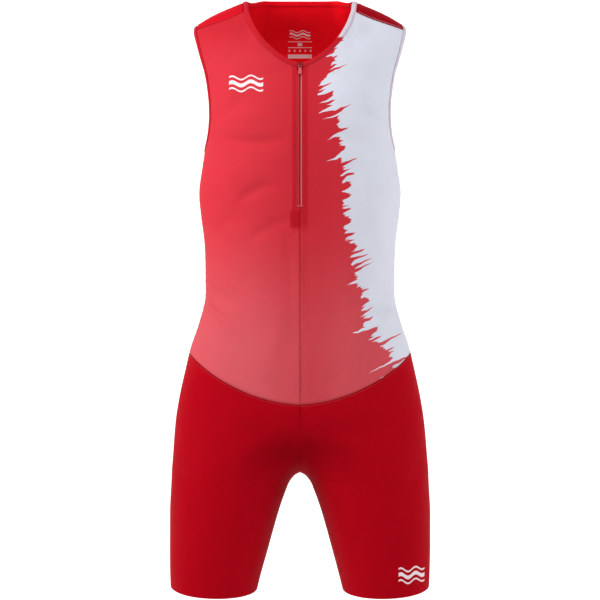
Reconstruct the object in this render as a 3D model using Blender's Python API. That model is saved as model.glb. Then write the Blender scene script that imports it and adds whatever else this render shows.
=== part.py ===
"""Sleeveless triathlon suit, one piece, worn: two fronts on a zip, a back, two leg panels and bindings.

The cloth lies on one smooth body form of a general figure. Every panel is a grid of points on that form,
bounded by its own seams, and gets its wall inwards from there. Metres, +Z up, the wearer faces -Y and their
left side is at +X. The origin lies between the shoulders, where the wearer carries the suit.
"""

import math

import bmesh
import bpy
import numpy as np

MM = 0.001

# Cloth and seams.
WALL = 1.5 * MM
SEAM_GAP = 0.3 * MM
EDGE_INSET = 0.18 * MM
BAND_INSET = 0.55 * MM
BAND_WALL = 2.2 * MM
BAND_PROUD = 0.4 * MM
NECK_BAND_WIDTH = 7.5 * MM
ARM_BAND_WIDTH = 6.0 * MM

# The body form. Widths are half widths, and front and back are depths from the plane of the side seams.
SQUARENESS = 2.3
GAUGE = 100 * MM
TORSO = {
    "height": (60, 20, -20, -60, -90, -130, -170, -209, -236, -274, -311, -348, -403, -440, -477, -514, -551,
               -588, -625, -662, -700, -760),
    "half_width": (212, 212, 198, 173, 161, 151, 147, 146, 150, 155, 152, 147, 145, 146, 155.5, 168, 177,
                   185, 191, 194, 197, 199),
    "front": (66, 70, 80, 92, 100, 113, 120, 121, 119.5, 116.5, 113.5, 110.5, 107.5, 107.5, 109, 111.5, 113.5,
              113.5, 111, 106, 100, 92),
    "back": (70, 78, 94, 106, 111, 114.5, 114, 109.5, 106, 100, 95, 89, 83.5, 84, 90, 101, 113,
             121, 123.5, 121, 114, 104),
}
LEG = {
    "height": (-560, -600, -640, -680, -700, -717, -736, -754, -791, -828, -865, -900),
    "inner": (-40, -30, -20, -8, 6, 17.5, 24.7, 30.8, 41.6, 51.6, 61.6, 70),
    "outer": (179.5, 187, 192.6, 195.7, 197.3, 198, 199, 200, 200.3, 200.3, 199.6, 198),
    "front": (108, 106, 102, 97, 94, 92, 90.5, 89, 86, 82.5, 79, 76),
    "back": (112, 118, 119, 112, 107, 103, 99, 96.5, 92, 87, 82.5, 79),
}
LEGS_PART_HEIGHT = -706 * MM
HIPS_WHOLE_HEIGHT = -600 * MM
CLEFT_SOFTNESS = 10 * MM
LEG_REACH = 115 * MM

# The shoulders: a ridge that falls from the neck to the tip and rounds over to the front and the back.
NECK_POINT_WIDTH = 81.7 * MM
NECK_POINT_HEIGHT = 21.5 * MM
SHOULDER_SLOPE = 0.40
RIDGE_SET_BACK = 15 * MM
NECK_RISE = 60.0
SHOULDER_BEND = 5.0
SHOULDER_ROUNDING = 50 * MM
CORE_DEPTH = 45 * MM

# Seams and edges, in the view from the front, as distance from the centre and height.
WAIST_SEAM = {"centre_front": -594.7 * MM, "side": -520 * MM, "centre_back": -494 * MM, "curve": 1.75}
NECK_SEAM = {
    "across": (0, 13.8, 30.3, 48.5, 64.0, 75.0, 84.8),
    "height": (-96, -91.5, -82.5, -67.1, -50.1, -30.9, -4.2),
}
BACK_NECK_SEAM = {
    "across": (0, 30, 55, 73, 84, 89),
    "depth": (76, 74, 66, 50, 26, 0),
    "height": (26.0, 25.5, 24.0, 20.5, 18.0, 16.5),
}
ARM_SEAM = {
    "across": (146, 145.3, 142, 138, 135, 134.5, 136, 138.5, 142, 146.5, 151.5, 157),
    "depth": (0, -20, -38, -50, -56.5, -58.5, -57.5, -55, -51, -45, -36, -22.5),
    "height": (-215, -211.5, -202, -188, -170, -150, -128, -106, -84, -63, -45, -28.7),
}
BACK_ARM_SEAM = {
    "across": (146, 145.3, 141.5, 137, 134, 133.5, 135, 138, 142, 147, 152.5, 157, 158.5),
    "depth": (0, 20, 38, 50, 57, 60, 61, 61, 60, 56.5, 48, 26, 0),
    "height": (-215, -211.5, -202, -188, -170, -150, -128, -106, -84, -60, -40, -22, -17),
}
SHOULDER_SEAM = {
    "across": (84.8, 105, 130, 157.0),
    "height": (-4.2, -13.5, -21.8, -28.7),
}
HEM_HEIGHT = -881 * MM
HEM_DIP = 6 * MM
HEM_INNER_DROP = 3 * MM

# How finely each stretch of seam is divided.
ZIP_ROWS = 17
NECK_ROWS = 5
SIDE_ROWS = 12
FRONT_COLUMNS = 9
BACK_NECK_COLUMNS = 5
OVER_SHOULDER_ROWS = 3
HIP_ROWS = 6
THIGH_ROWS = 7
INNER_LEG_COLUMNS = 5
TOP_HOLD = 4
PANEL_ROWS = ZIP_ROWS + NECK_ROWS

# The zip.
SLOT_HALF = 1.0 * MM
SLOT_TOP_HALF = 3.4 * MM
SLOT_WIDE_END = -98 * MM
SLOT_NARROW_START = -112 * MM
ZIP_END = -300 * MM
TAPE_END = -334 * MM
TAPE_TOP = -89 * MM
TAPE_WALL = 0.8 * MM
TAPE_OUTER_EDGE = 13 * MM
CHAIN_HALF = 2.2 * MM
CHAIN_WALL = 1.6 * MM
BEHIND_PANEL = 0.6 * MM

# The slider and its pull. Lengths run down the zip from the slider's middle, heights outwards from the cloth.
SLIDER_HEIGHT = -92.5 * MM
SLIDER_OUTLINE = {
    "down": (-4.2, -3.6, 0.5, 3.4, 4.2),
    "half_width": (1.9, 2.8, 2.6, 2.2, 1.5),
}
SLIDER_BACK = -1.7 * MM
SLIDER_FACE = 0.7 * MM
BRIDGE_HALF_LENGTH = 3.1 * MM
BRIDGE_LEG = 0.8 * MM
BRIDGE_RISE = 3.1 * MM
BRIDGE_BAR = 0.8 * MM
BRIDGE_HALF_WIDTH = 0.8 * MM
PULL_PIVOT_DOWN = 0.4 * MM
PULL_PIVOT_OUT = 1.75 * MM
PULL_OUTLINE = {
    "down": (-0.6, 0.4, 3.6, 7.0, 10.5, 12.6, 14.0, 14.6),
    "half_width": (1.7, 2.2, 2.1, 2.2, 2.7, 2.6, 1.8, 0.6),
}
PULL_WALL = 1.3 * MM
EYE_TOP = 0.6 * MM
EYE_END = 3.9 * MM
EYE_HALF_WIDTH = 1.15 * MM
EDGE_ROUNDING = 0.25 * MM


def table(rows, column, at):
    """A smooth curve through a table's column, read at the given heights, all in metres."""
    order = np.argsort(rows["height"])
    knots = np.array(rows["height"], float)[order] * MM
    values = np.array(rows[column], float)[order] * MM
    slopes = np.gradient(values, knots)
    at = np.clip(at, knots[0], knots[-1])
    low = np.clip(np.searchsorted(knots, at) - 1, 0, len(knots) - 2)
    span = knots[low + 1] - knots[low]
    t = (at - knots[low]) / span
    return (
        (2 * t**3 - 3 * t**2 + 1) * values[low]
        + (t**3 - 2 * t**2 + t) * span * slopes[low]
        + (3 * t**2 - 2 * t**3) * values[low + 1]
        + (t**3 - t**2) * span * slopes[low + 1]
    )


def smooth_step(low, high, value):
    t = np.clip((value - low) / (high - low), 0, 1)
    return t * t * (3 - 2 * t)


def smooth_max(a, b, width):
    near = np.maximum(width - np.abs(a - b), 0) / width
    return np.maximum(a, b) + near * near * width / 4


def ridge_height(across):
    """The top of the shoulder at a distance from the centre; inside the neck point it climbs like a neck."""
    return (
        NECK_POINT_HEIGHT
        - SHOULDER_SLOPE * (across - NECK_POINT_WIDTH)
        + NECK_RISE * np.maximum(NECK_POINT_WIDTH - across, 0) ** 2
    )


def outside(points):
    """How far points lie outside the body form, roughly in metres; negative inside it."""
    x, y, z = points[..., 0], points[..., 1], points[..., 2]
    across = np.abs(x)
    depth = np.where(y < 0, table(TORSO, "front", z), table(TORSO, "back", z))
    power = SQUARENESS
    torso = ((across / table(TORSO, "half_width", z)) ** power + np.abs(y / depth) ** power) ** (1 / power) - 1
    inner, outer = table(LEG, "inner", z), table(LEG, "outer", z)
    centre, half = (inner + outer) / 2, (outer - inner) / 2
    depth = np.where(y < 0, table(LEG, "front", z), table(LEG, "back", z))
    soft_across = np.sqrt(x * x + CLEFT_SOFTNESS**2)
    from_centre = np.where(across < centre, centre - soft_across, across - centre)
    legs = ((from_centre / half) ** 2 + (y / depth) ** 2) ** 0.5 - 1
    whole = smooth_step(LEGS_PART_HEIGHT, HIPS_WHOLE_HEIGHT, z)
    body = GAUGE * (whole * torso + (1 - whole) * legs)
    roof = z - ridge_height(across) + SHOULDER_BEND * (y - RIDGE_SET_BACK) ** 2
    return smooth_max(body, roof * math.cos(math.atan(SHOULDER_SLOPE)), SHOULDER_ROUNDING)


def outward(points):
    """The unit direction out of the form at each point."""
    step = 0.2 * MM
    slopes = [outside(points + step * axis) - outside(points - step * axis) for axis in np.eye(3)]
    slopes = np.stack(slopes, axis=-1)
    return slopes / np.linalg.norm(slopes, axis=-1, keepdims=True)


def settled(points, rounds=14):
    """Points moved straight onto the form."""
    step = 0.2 * MM
    for _ in range(rounds):
        slopes = [(outside(points + step * a) - outside(points - step * a)) / (2 * step) for a in np.eye(3)]
        slopes = np.stack(slopes, axis=-1)
        size = np.maximum((slopes**2).sum(axis=-1), 0.05)
        points = points - 0.9 * slopes * (outside(points) / size)[..., None]
    return points


def cast(starts, ways, reach=0.45):
    """Where rays from inside the form come out of it."""
    ways = ways / np.linalg.norm(ways, axis=-1, keepdims=True)
    near, far = np.zeros(starts.shape[:-1]), np.full(starts.shape[:-1], reach)
    for _ in range(44):
        middle = (near + far) / 2
        inside = outside(starts + middle[..., None] * ways) < 0
        near, far = np.where(inside, middle, near), np.where(inside, far, middle)
    return starts + near[..., None] * ways


# Panel coordinates: a turn round the body from the centre, 0 to 90 degrees at the side seam, and a height
# that goes on over the shoulder as a length round its core line.


def widest(height):
    return table(TORSO, "half_width", np.minimum(height, -50 * MM))


def across_of(turn, height):
    return widest(height) * np.sin(turn) ** (2 / SQUARENESS)


def turn_of(across, height):
    return np.arcsin(np.clip(across / widest(height), 0, 1) ** (SQUARENESS / 2))


def core_height(across):
    return NECK_POINT_HEIGHT - SHOULDER_SLOPE * (across - NECK_POINT_WIDTH) - CORE_DEPTH


def panel_points(turn, height, facing):
    """Points on the form; facing is -1 for a front and 1 for the back."""
    across = across_of(turn, height)
    core = core_height(across)
    over = np.maximum(height - core, 0) / CORE_DEPTH if facing > 0 else np.zeros_like(height)
    level = np.where(over > 0, core, height)
    depth = table(TORSO, "front" if facing < 0 else "back", level)
    depth = depth * np.maximum(np.cos(turn), 0) ** (2 / SQUARENESS)
    lean = 1 - 0.6 * smooth_step(math.radians(66), math.radians(88), turn) * smooth_step(-60 * MM, -120 * MM, height)
    starts = np.stack([lean * across, np.zeros_like(across), level], axis=-1)
    seeds = np.stack([across, facing * depth, level], axis=-1)
    flat = seeds - starts
    arc = np.stack([np.zeros_like(across), np.cos(over), np.sin(over)], axis=-1)
    return cast(starts, np.where((over > 0)[..., None], arc, flat))


def length_over(points):
    """The panel height of points on the back, with the length round the shoulder's core line."""
    core = core_height(points[..., 0])
    over = np.arctan2(points[..., 2] - core, points[..., 1])
    return np.where(points[..., 2] > core, core + CORE_DEPTH * over, points[..., 2])


def evenly(points, count):
    """A curve's points shared out at equal lengths along it."""
    lengths = np.concatenate([[0], np.cumsum(np.linalg.norm(np.diff(points, axis=0), axis=1))])
    at = np.linspace(0, lengths[-1], count + 1)
    return np.stack([np.interp(at, lengths, points[:, k]) for k in range(points.shape[1])], axis=1)


def smooth_curve(rows, columns, count):
    """A table's rows as a smooth curve of count + 1 points, evenly spaced."""
    knots = np.stack([np.array(rows[name], float) * MM for name in columns], axis=1)
    at = np.concatenate([[0], np.cumsum(np.linalg.norm(np.diff(knots, axis=0), axis=1))])
    fine = np.linspace(0, at[-1], 400)
    slopes = np.gradient(knots, at, axis=0)
    low = np.clip(np.searchsorted(at, fine) - 1, 0, len(at) - 2)
    span = (at[low + 1] - at[low])[:, None]
    t = ((fine - at[low]) / span[:, 0])[:, None]
    curve = (
        (2 * t**3 - 3 * t**2 + 1) * knots[low]
        + (t**3 - 2 * t**2 + t) * span * slopes[low]
        + (3 * t**2 - 2 * t**3) * knots[low + 1]
        + (t**3 - t**2) * span * slopes[low + 1]
    )
    return evenly(curve, count)


def coons(inner, outer, bottom, top, hold=1):
    """Fills a patch between four edges that share their corners. Rows run from bottom to top.

    A hold over 1 keeps the shape of the top edge nearer to it."""
    rows, columns = len(inner), len(bottom)
    v = np.linspace(0, 1, rows)[:, None, None] ** hold
    u = np.linspace(0, 1, columns)[None, :, None]
    across = (1 - u) * inner[:, None] + u * outer[:, None]
    along = (1 - v) * bottom[None] + v * top[None]
    corners = (1 - v) * ((1 - u) * bottom[0] + u * bottom[-1]) + v * ((1 - u) * top[0] + u * top[-1])
    return across + along - corners


def panel_coordinates(across, height):
    return np.stack([turn_of(across, height), height], axis=-1)


def coordinates_of(points):
    """Panel coordinates of points on the form; the turn comes from the depth too, low down, where a side is."""
    across, y, z = np.maximum(points[:, 0], 0), points[:, 1], points[:, 2]
    depth = np.where(y < 0, table(TORSO, "front", z), table(TORSO, "back", z))
    shares = (across / table(TORSO, "half_width", z)) ** (SQUARENESS / 2), (np.abs(y) / depth) ** (SQUARENESS / 2)
    low_turn = np.arctan2(*shares)
    length = np.where(y < 0, z, length_over(points))
    low = smooth_step(-100 * MM, -150 * MM, z)
    return np.stack([low * low_turn + (1 - low) * turn_of(across, length), length], axis=-1)


def waist_height(turn, facing):
    """The waist seam dips to a point at the centre front and climbs gently to the centre back."""
    side = WAIST_SEAM["side"]
    if facing < 0:
        share = np.sin(turn) ** (2 / SQUARENESS)
        return WAIST_SEAM["centre_front"] + (side - WAIST_SEAM["centre_front"]) * share ** WAIST_SEAM["curve"]
    return side + (WAIST_SEAM["centre_back"] - side) * np.sin(math.pi / 2 - turn)


def waist_edge(facing, columns):
    turn = np.linspace(0, math.pi / 2, columns + 1)
    return np.stack([turn, waist_height(turn, facing)], axis=-1)


def slot_half(height):
    """Half the gap between the fronts: wide round the slider, narrow along the zip, a seam below it."""
    wide = smooth_step(SLOT_NARROW_START, SLOT_WIDE_END, height)
    zipped = smooth_step(ZIP_END - 4 * MM, ZIP_END, height)
    return zipped * (SLOT_HALF + wide * (SLOT_TOP_HALF - SLOT_HALF))


def side_seam():
    """The side seam, from the waist to the armhole, as panel coordinates."""
    height = np.linspace(WAIST_SEAM["side"], ARM_SEAM["height"][0] * MM, SIDE_ROWS + 1)
    return np.stack([np.full_like(height, math.pi / 2), height], axis=-1)


def front_grid():
    """The front of the wearer's left side: rows from the waist seam up, columns from the centre out."""
    arm_rows = PANEL_ROWS - SIDE_ROWS
    zip_height = np.linspace(WAIST_SEAM["centre_front"], NECK_SEAM["height"][0] * MM, ZIP_ROWS + 1)
    neck = smooth_curve(NECK_SEAM, ("across", "height"), NECK_ROWS)
    neck[:, 0] = np.maximum(neck[:, 0], slot_half(neck[:, 1]))
    centre = panel_coordinates(slot_half(zip_height), zip_height)
    inner = np.concatenate([centre, panel_coordinates(neck[1:, 0], neck[1:, 1])])
    arm = settled(smooth_curve(ARM_SEAM, ("across", "depth", "height"), arm_rows))
    outer = np.concatenate([side_seam(), coordinates_of(arm)[1:]])
    shoulder = smooth_curve(SHOULDER_SEAM, ("across", "height"), FRONT_COLUMNS)
    top = panel_coordinates(shoulder[:, 0], shoulder[:, 1])
    grid = coons(inner, outer, waist_edge(-1, FRONT_COLUMNS), top)
    return panel_points(grid[..., 0], grid[..., 1], -1)


def back_grids(shoulder_seam):
    """The back's left half, up to the shoulder's ridge, and its stretch over the ridge to the shoulder seam."""
    arm_rows = PANEL_ROWS - SIDE_ROWS
    knots = smooth_curve(BACK_NECK_SEAM, ("across", "depth", "height"), BACK_NECK_COLUMNS)
    neck = settled(knots)
    neck[0, 0] = 0
    neck_line = panel_coordinates(neck[:, 0], length_over(neck))
    tip_across = BACK_ARM_SEAM["across"][-1] * MM
    ridge_across = np.linspace(neck[-1, 0], tip_across, FRONT_COLUMNS + 1)
    ridge_length = core_height(ridge_across) + CORE_DEPTH * math.pi / 2
    ridge = panel_coordinates(ridge_across, ridge_length)
    ridge[0] = neck_line[-1]
    arm_line = coordinates_of(settled(smooth_curve(BACK_ARM_SEAM, ("across", "depth", "height"), arm_rows)))
    arm_line[-1] = ridge[-1]
    height = np.linspace(WAIST_SEAM["centre_back"], neck_line[0, 1], PANEL_ROWS + 1)
    centre = np.stack([np.zeros_like(height), height], axis=-1)
    outer = np.concatenate([side_seam(), arm_line[1:]])
    bottom = waist_edge(1, BACK_NECK_COLUMNS + FRONT_COLUMNS)
    top = np.concatenate([neck_line, ridge[1:]])
    grid = coons(centre, outer, bottom, top, TOP_HOLD)
    main = panel_points(grid[..., 0], grid[..., 1], 1)
    seam_length = length_over(shoulder_seam)
    rows = [main[-1, BACK_NECK_COLUMNS:]]
    for row in range(1, OVER_SHOULDER_ROWS):
        share = row / OVER_SHOULDER_ROWS
        across = (1 - share) * rows[0][:, 0] + share * shoulder_seam[:, 0]
        length = (1 - share) * length_over(rows[0]) + share * seam_length
        rows.append(panel_points(turn_of(across, length), length, 1))
    rows.append(shoulder_seam)
    return main, np.stack(rows)


def leg_core(height):
    return np.stack([
        (table(LEG, "inner", height) + table(LEG, "outer", height)) / 2,
        np.zeros_like(height),
        height,
    ], axis=-1)


def crotch_seam(front_waist, back_waist):
    """The seam between the legs in the middle plane, from the front waist under the crotch to the back one."""
    core = np.array([0, 10 * MM, -600 * MM])
    turns = [math.atan2(core[2] - p[2], core[1] - p[1]) for p in (front_waist, back_waist)]
    turn = np.linspace(turns[0], turns[1] % (2 * math.pi), 600)
    ways = np.stack([np.zeros_like(turn), -np.cos(turn), -np.sin(turn)], axis=-1)
    return cast(np.broadcast_to(core, ways.shape), ways)


def hem_points(turn):
    """Points of the hem at a turn round the leg, 0 in front and 90 degrees on the outside."""
    height = HEM_HEIGHT - HEM_DIP * np.cos(turn) + HEM_INNER_DROP * np.sin(turn)
    ways = np.stack([np.sin(turn), -np.cos(turn), np.zeros_like(turn)], axis=-1)
    return cast(leg_core(height), ways, LEG_REACH)


def split_curve(curve, fractions, counts):
    """Cuts a curve at fractions of its length and shares out each stretch."""
    lengths = np.concatenate([[0], np.cumsum(np.linalg.norm(np.diff(curve, axis=0), axis=1))])
    cuts = [0, *fractions, 1]
    stretches = []
    for low, high, count in zip(cuts[:-1], cuts[1:], counts):
        at = np.linspace(low, high, count + 1) * lengths[-1]
        stretches.append(np.stack([np.interp(at, lengths, curve[:, k]) for k in range(3)], axis=1))
    return stretches


def leg_grids(waist):
    """The left leg: rows from the waist seam to the hem round its outside, and the inside below the crotch."""
    front_turns = np.radians(np.linspace(-64, 90, FRONT_COLUMNS + 1))
    back_turns = np.radians(np.linspace(90, 236, BACK_NECK_COLUMNS + FRONT_COLUMNS + 1))
    turns = np.concatenate([front_turns, back_turns[1:]])
    seam = crotch_seam(waist[0], waist[-1])
    front_rise, under, back_rise = split_curve(seam, (0.37, 0.56), (HIP_ROWS, INNER_LEG_COLUMNS, HIP_ROWS))
    back_rise = back_rise[::-1]
    fork_front, fork_back = front_rise[-1], back_rise[-1]
    share = (turns - turns[0]) / (turns[-1] - turns[0])
    height = (1 - share) * fork_front[2] + share * fork_back[2] - 16 * MM * np.sin(math.pi * share)
    ways = np.stack([np.sin(turns), -np.cos(turns), np.zeros_like(turns)], axis=-1)
    level = cast(leg_core(height), ways, LEG_REACH)
    level[0], level[-1] = fork_front, fork_back
    for end, far in ((0, 3), (-1, -4)):
        for step in (1, 2):
            k = end + step if end == 0 else end - step
            level[k] = level[end] + (level[far] - level[end]) * step / 3
    level[1:-1] = settled(level)[1:-1]
    upper = coons(front_rise, back_rise, waist, level)
    upper[1:, 1:-1] = settled(upper)[1:, 1:-1]
    hem = hem_points(turns)
    fall = np.linspace(0, 1, THIGH_ROWS + 1)[:, None, None]
    lower = settled((1 - fall) * upper[-1][None] + fall * hem[None])
    lower[0], lower[-1] = upper[-1], hem
    outer = np.concatenate([upper, lower[1:]])
    inner_turns = np.linspace(turns[-1], turns[0] + 2 * math.pi, INNER_LEG_COLUMNS + 1)
    inner_hem = hem_points(inner_turns)
    inner = coons(lower[:, -1], lower[:, 0], under[::-1], inner_hem)
    inner[1:-1, 1:-1] = settled(inner)[1:-1, 1:-1]
    return outer, inner


class Sheet:
    """A sheet of four-sided faces whose points may be shared between grids."""

    def __init__(self):
        self.points, self.quads, self.places = [], [], {}

    def point(self, place):
        key = tuple(np.round(place / (0.01 * MM)).astype(int))
        if key not in self.places:
            self.places[key] = len(self.points)
            self.points.append(np.array(place, float))
        return self.places[key]

    def add(self, grid):
        """Adds a grid of rows by columns, with its faces looking out of the form."""
        numbers = np.array([[self.point(place) for place in row] for row in grid])
        corners = np.stack([grid[:-1, :-1], grid[:-1, 1:], grid[1:, 1:], grid[1:, :-1]], axis=2)
        normal = np.cross(corners[:, :, 2] - corners[:, :, 0], corners[:, :, 3] - corners[:, :, 1])
        looks_out = (normal * outward(corners.mean(axis=2))).sum() > 0
        for j in range(len(numbers) - 1):
            for i in range(len(numbers[0]) - 1):
                quad = (numbers[j, i], numbers[j, i + 1], numbers[j + 1, i + 1], numbers[j + 1, i])
                self.quads.append(quad if looks_out else quad[::-1])

    def rim(self):
        """The sheet's open edges, each in its face's own direction."""
        edges = {(q[k], q[(k + 1) % 4]) for q in self.quads for k in range(4)}
        return [edge for edge in edges if edge[::-1] not in edges]

    def drawn_in(self, distance):
        """The points, with those on the open edges moved into the sheet."""
        points = np.array(self.points)
        normal = outward(points)
        pulls = {}
        for a, b in self.rim():
            way = points[b] - points[a]
            inward = np.cross(normal[a] + normal[b], way)
            inward /= np.linalg.norm(inward)
            pulls.setdefault(a, []).append(inward)
            pulls.setdefault(b, []).append(inward)
        for number, ways in pulls.items():
            first, second = ways
            points[number] += distance * (first + second) / max(1 + first @ second, 0.3)
        return points, normal


def new_material(name, colour, roughness, metallic=0.0):
    material = bpy.data.materials.new(name)
    material.use_nodes = True
    shader = material.node_tree.nodes["Principled BSDF"]
    shader.inputs["Base Color"].default_value = (*colour, 1)
    shader.inputs["Roughness"].default_value = roughness
    shader.inputs["Metallic"].default_value = metallic
    return material


def new_object(name, mesh, material):
    obj = bpy.data.objects.new(name, mesh)
    obj.data.materials.append(material)
    bpy.context.scene.collection.objects.link(obj)
    return obj


def wall_between(name, outer, inner, quads, rim, material):
    """One closed wall: the outer sheet, the inner sheet turned round, and a strip along each open edge."""
    count = len(outer)
    faces = [tuple(q) for q in quads]
    faces += [tuple(count + k for k in q[::-1]) for q in quads]
    faces += [(b, a, count + a, count + b) for a, b in rim]
    mesh = bpy.data.meshes.new(name)
    mesh.from_pydata([tuple(p) for p in np.concatenate([outer, inner])], [], faces)
    mesh.validate()
    mesh.shade_smooth()
    mesh.set_sharp_from_angle(angle=math.radians(50))
    return new_object(name, mesh, material)


def cloth(name, grids, material, wall=WALL, proud=0.0, draw_in=EDGE_INSET):
    """A cloth piece from grids on the form: its outer face stands proud of the form, its wall goes inwards."""
    sheet = Sheet()
    for grid in grids:
        sheet.add(grid)
    points, normal = sheet.drawn_in(draw_in)
    outer, inner = points + proud * normal, points + (proud - wall) * normal
    return wall_between(name, outer, inner, sheet.quads, sheet.rim(), material)


def mirrored(grid):
    return grid * np.array([-1, 1, 1])


def band_from(edge, width, away):
    """The second edge of a band that is sewn along the given one, on the form, towards the point away."""
    along = np.gradient(edge, axis=0)
    if np.allclose(edge[0], edge[-1]):
        along[0] = along[-1] = edge[1] - edge[-2]
    side = np.cross(outward(edge), along)
    side /= np.linalg.norm(side, axis=1, keepdims=True)
    side *= np.sign((side * (away - edge)).sum(axis=1, keepdims=True))
    return settled(edge + width * side)


def neck_band(front, over, main):
    """The neck binding, open at the zip: along the fronts, over the shoulders and round the back."""
    left = np.concatenate([front[ZIP_ROWS:, 0], over[-2:0:-1, 0], main[-1, BACK_NECK_COLUMNS::-1]])
    free = band_from(left, NECK_BAND_WIDTH, np.array([0, 0, 40 * MM]))
    free[0] = left[0] + np.array([0, 0, NECK_BAND_WIDTH])
    free[0] = settled(free[0])
    free[-1, 0] = 0
    half = np.stack([left, free])
    return [half, mirrored(half)]


def arm_band(front, over, main):
    """The armhole binding: a ring from the shoulder seam down the front, under the arm and up the back."""
    ring = np.concatenate([
        front[PANEL_ROWS:SIDE_ROWS:-1, -1],
        main[SIDE_ROWS:, -1],
        over[1:, -1],
    ])
    free = band_from(ring, ARM_BAND_WIDTH, np.array([175 * MM, 0, -110 * MM]))
    free[-1] = free[0]
    return [np.stack([ring, free])]


def zip_grids(front):
    """Grids on the form for the zip's two tapes and its chain, with a row at each of the fronts' own rows."""
    rows = front[: ZIP_ROWS + 1, 0, 2]
    heights = np.concatenate([[TAPE_END], rows[(rows > TAPE_END) & (rows < TAPE_TOP)], [TAPE_TOP]])
    chain_heights = np.concatenate([[ZIP_END], rows[(rows > ZIP_END) & (rows < TAPE_TOP)], [TAPE_TOP]])

    def strip(edges, levels):
        x, z = np.meshgrid(edges, levels)
        starts = np.stack([x, np.zeros_like(x), z], axis=-1)
        return cast(starts, np.broadcast_to(np.array([0.0, -1.0, 0.0]), starts.shape))

    tape = strip([CHAIN_HALF + SEAM_GAP, TAPE_OUTER_EDGE], heights)
    return tape, strip([-CHAIN_HALF, CHAIN_HALF], chain_heights)


def slab(name, outline, low, high, material, eye=()):
    """A flat solid: an outline in the local XZ plane, thickened along Y, with an optional eye through it."""
    shape = bmesh.new()
    for loop in (outline, eye):
        corners = [shape.verts.new((x, low, z)) for x, z in loop]
        for first, second in zip(corners, corners[1:] + corners[:1]):
            shape.edges.new((first, second))
    bmesh.ops.triangle_fill(shape, use_beauty=True, edges=shape.edges[:])
    bmesh.ops.dissolve_limit(shape, angle_limit=0.01, verts=shape.verts[:], edges=shape.edges[:])
    thick = bmesh.ops.extrude_face_region(shape, geom=shape.faces[:])
    moved = [part for part in thick["geom"] if isinstance(part, bmesh.types.BMVert)]
    bmesh.ops.translate(shape, vec=(0, high - low, 0), verts=moved)
    bmesh.ops.recalc_face_normals(shape, faces=shape.faces[:])
    mesh = bpy.data.meshes.new(name)
    shape.to_mesh(mesh)
    shape.free()
    rounding = new_object(name, mesh, material)
    bevel = rounding.modifiers.new("rounded_edges", "BEVEL")
    bevel.width = EDGE_ROUNDING
    bevel.segments = 2
    bevel.limit_method = "ANGLE"
    bevel.angle_limit = math.radians(40)
    return rounding


def outline_of(rows):
    """A shape that mirrors itself across the zip, from its half widths down its length."""
    down = np.array(rows["down"]) * MM
    half = np.array(rows["half_width"]) * MM
    return [(x, -z) for x, z in zip(half, down)] + [(-x, -z) for x, z in zip(half[::-1], down[::-1])]


def box_outline(half_width, top, bottom):
    return [(half_width, top), (half_width, bottom), (-half_width, bottom), (-half_width, top)]


def zip_hardware(metal, plastic):
    """The slider at the top of the zip, with its bridge, and the pull that hangs from the bridge."""
    seat = cast(np.array([[0.0, 0.0, SLIDER_HEIGHT]]), np.array([[0.0, -1.0, 0.0]]))
    normal = outward(seat)[0]
    tilt = -math.atan2(normal[2], -normal[1])
    slider = slab("zip_slider", outline_of(SLIDER_OUTLINE), -SLIDER_FACE, -SLIDER_BACK, metal)
    length, leg = BRIDGE_HALF_LENGTH, BRIDGE_LEG
    foot, top = SLIDER_FACE - EDGE_ROUNDING, SLIDER_FACE + BRIDGE_RISE
    under = top - BRIDGE_BAR
    arch = [
        (foot, length), (top - leg, length), (top, length - leg), (top, leg - length), (top - leg, -length),
        (foot, -length), (foot, leg - length), (under, leg - length), (under, length - leg), (foot, length - leg),
    ]
    bridge = slab("bridge", arch, -BRIDGE_HALF_WIDTH, BRIDGE_HALF_WIDTH, metal)
    bridge.rotation_euler = (0, 0, -math.pi / 2)
    bridge.parent = slider
    bridge.hide_render = True
    bridge.display_type = "WIRE"
    union = slider.modifiers.new("bridge", "BOOLEAN")
    union.operation = "UNION"
    union.object = bridge
    slider.location = seat[0]
    slider.rotation_euler = (tilt, 0, 0)
    pivot = seat[0] + PULL_PIVOT_OUT * normal + PULL_PIVOT_DOWN * np.array([0, -normal[2], normal[1]])
    eye = box_outline(EYE_HALF_WIDTH, -EYE_TOP, -EYE_END)
    pull = slab("zip_pull", outline_of(PULL_OUTLINE), -PULL_WALL / 2, PULL_WALL / 2, plastic, eye)
    pull.location = pivot
    pull.rotation_euler = (tilt, 0, 0)


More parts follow.
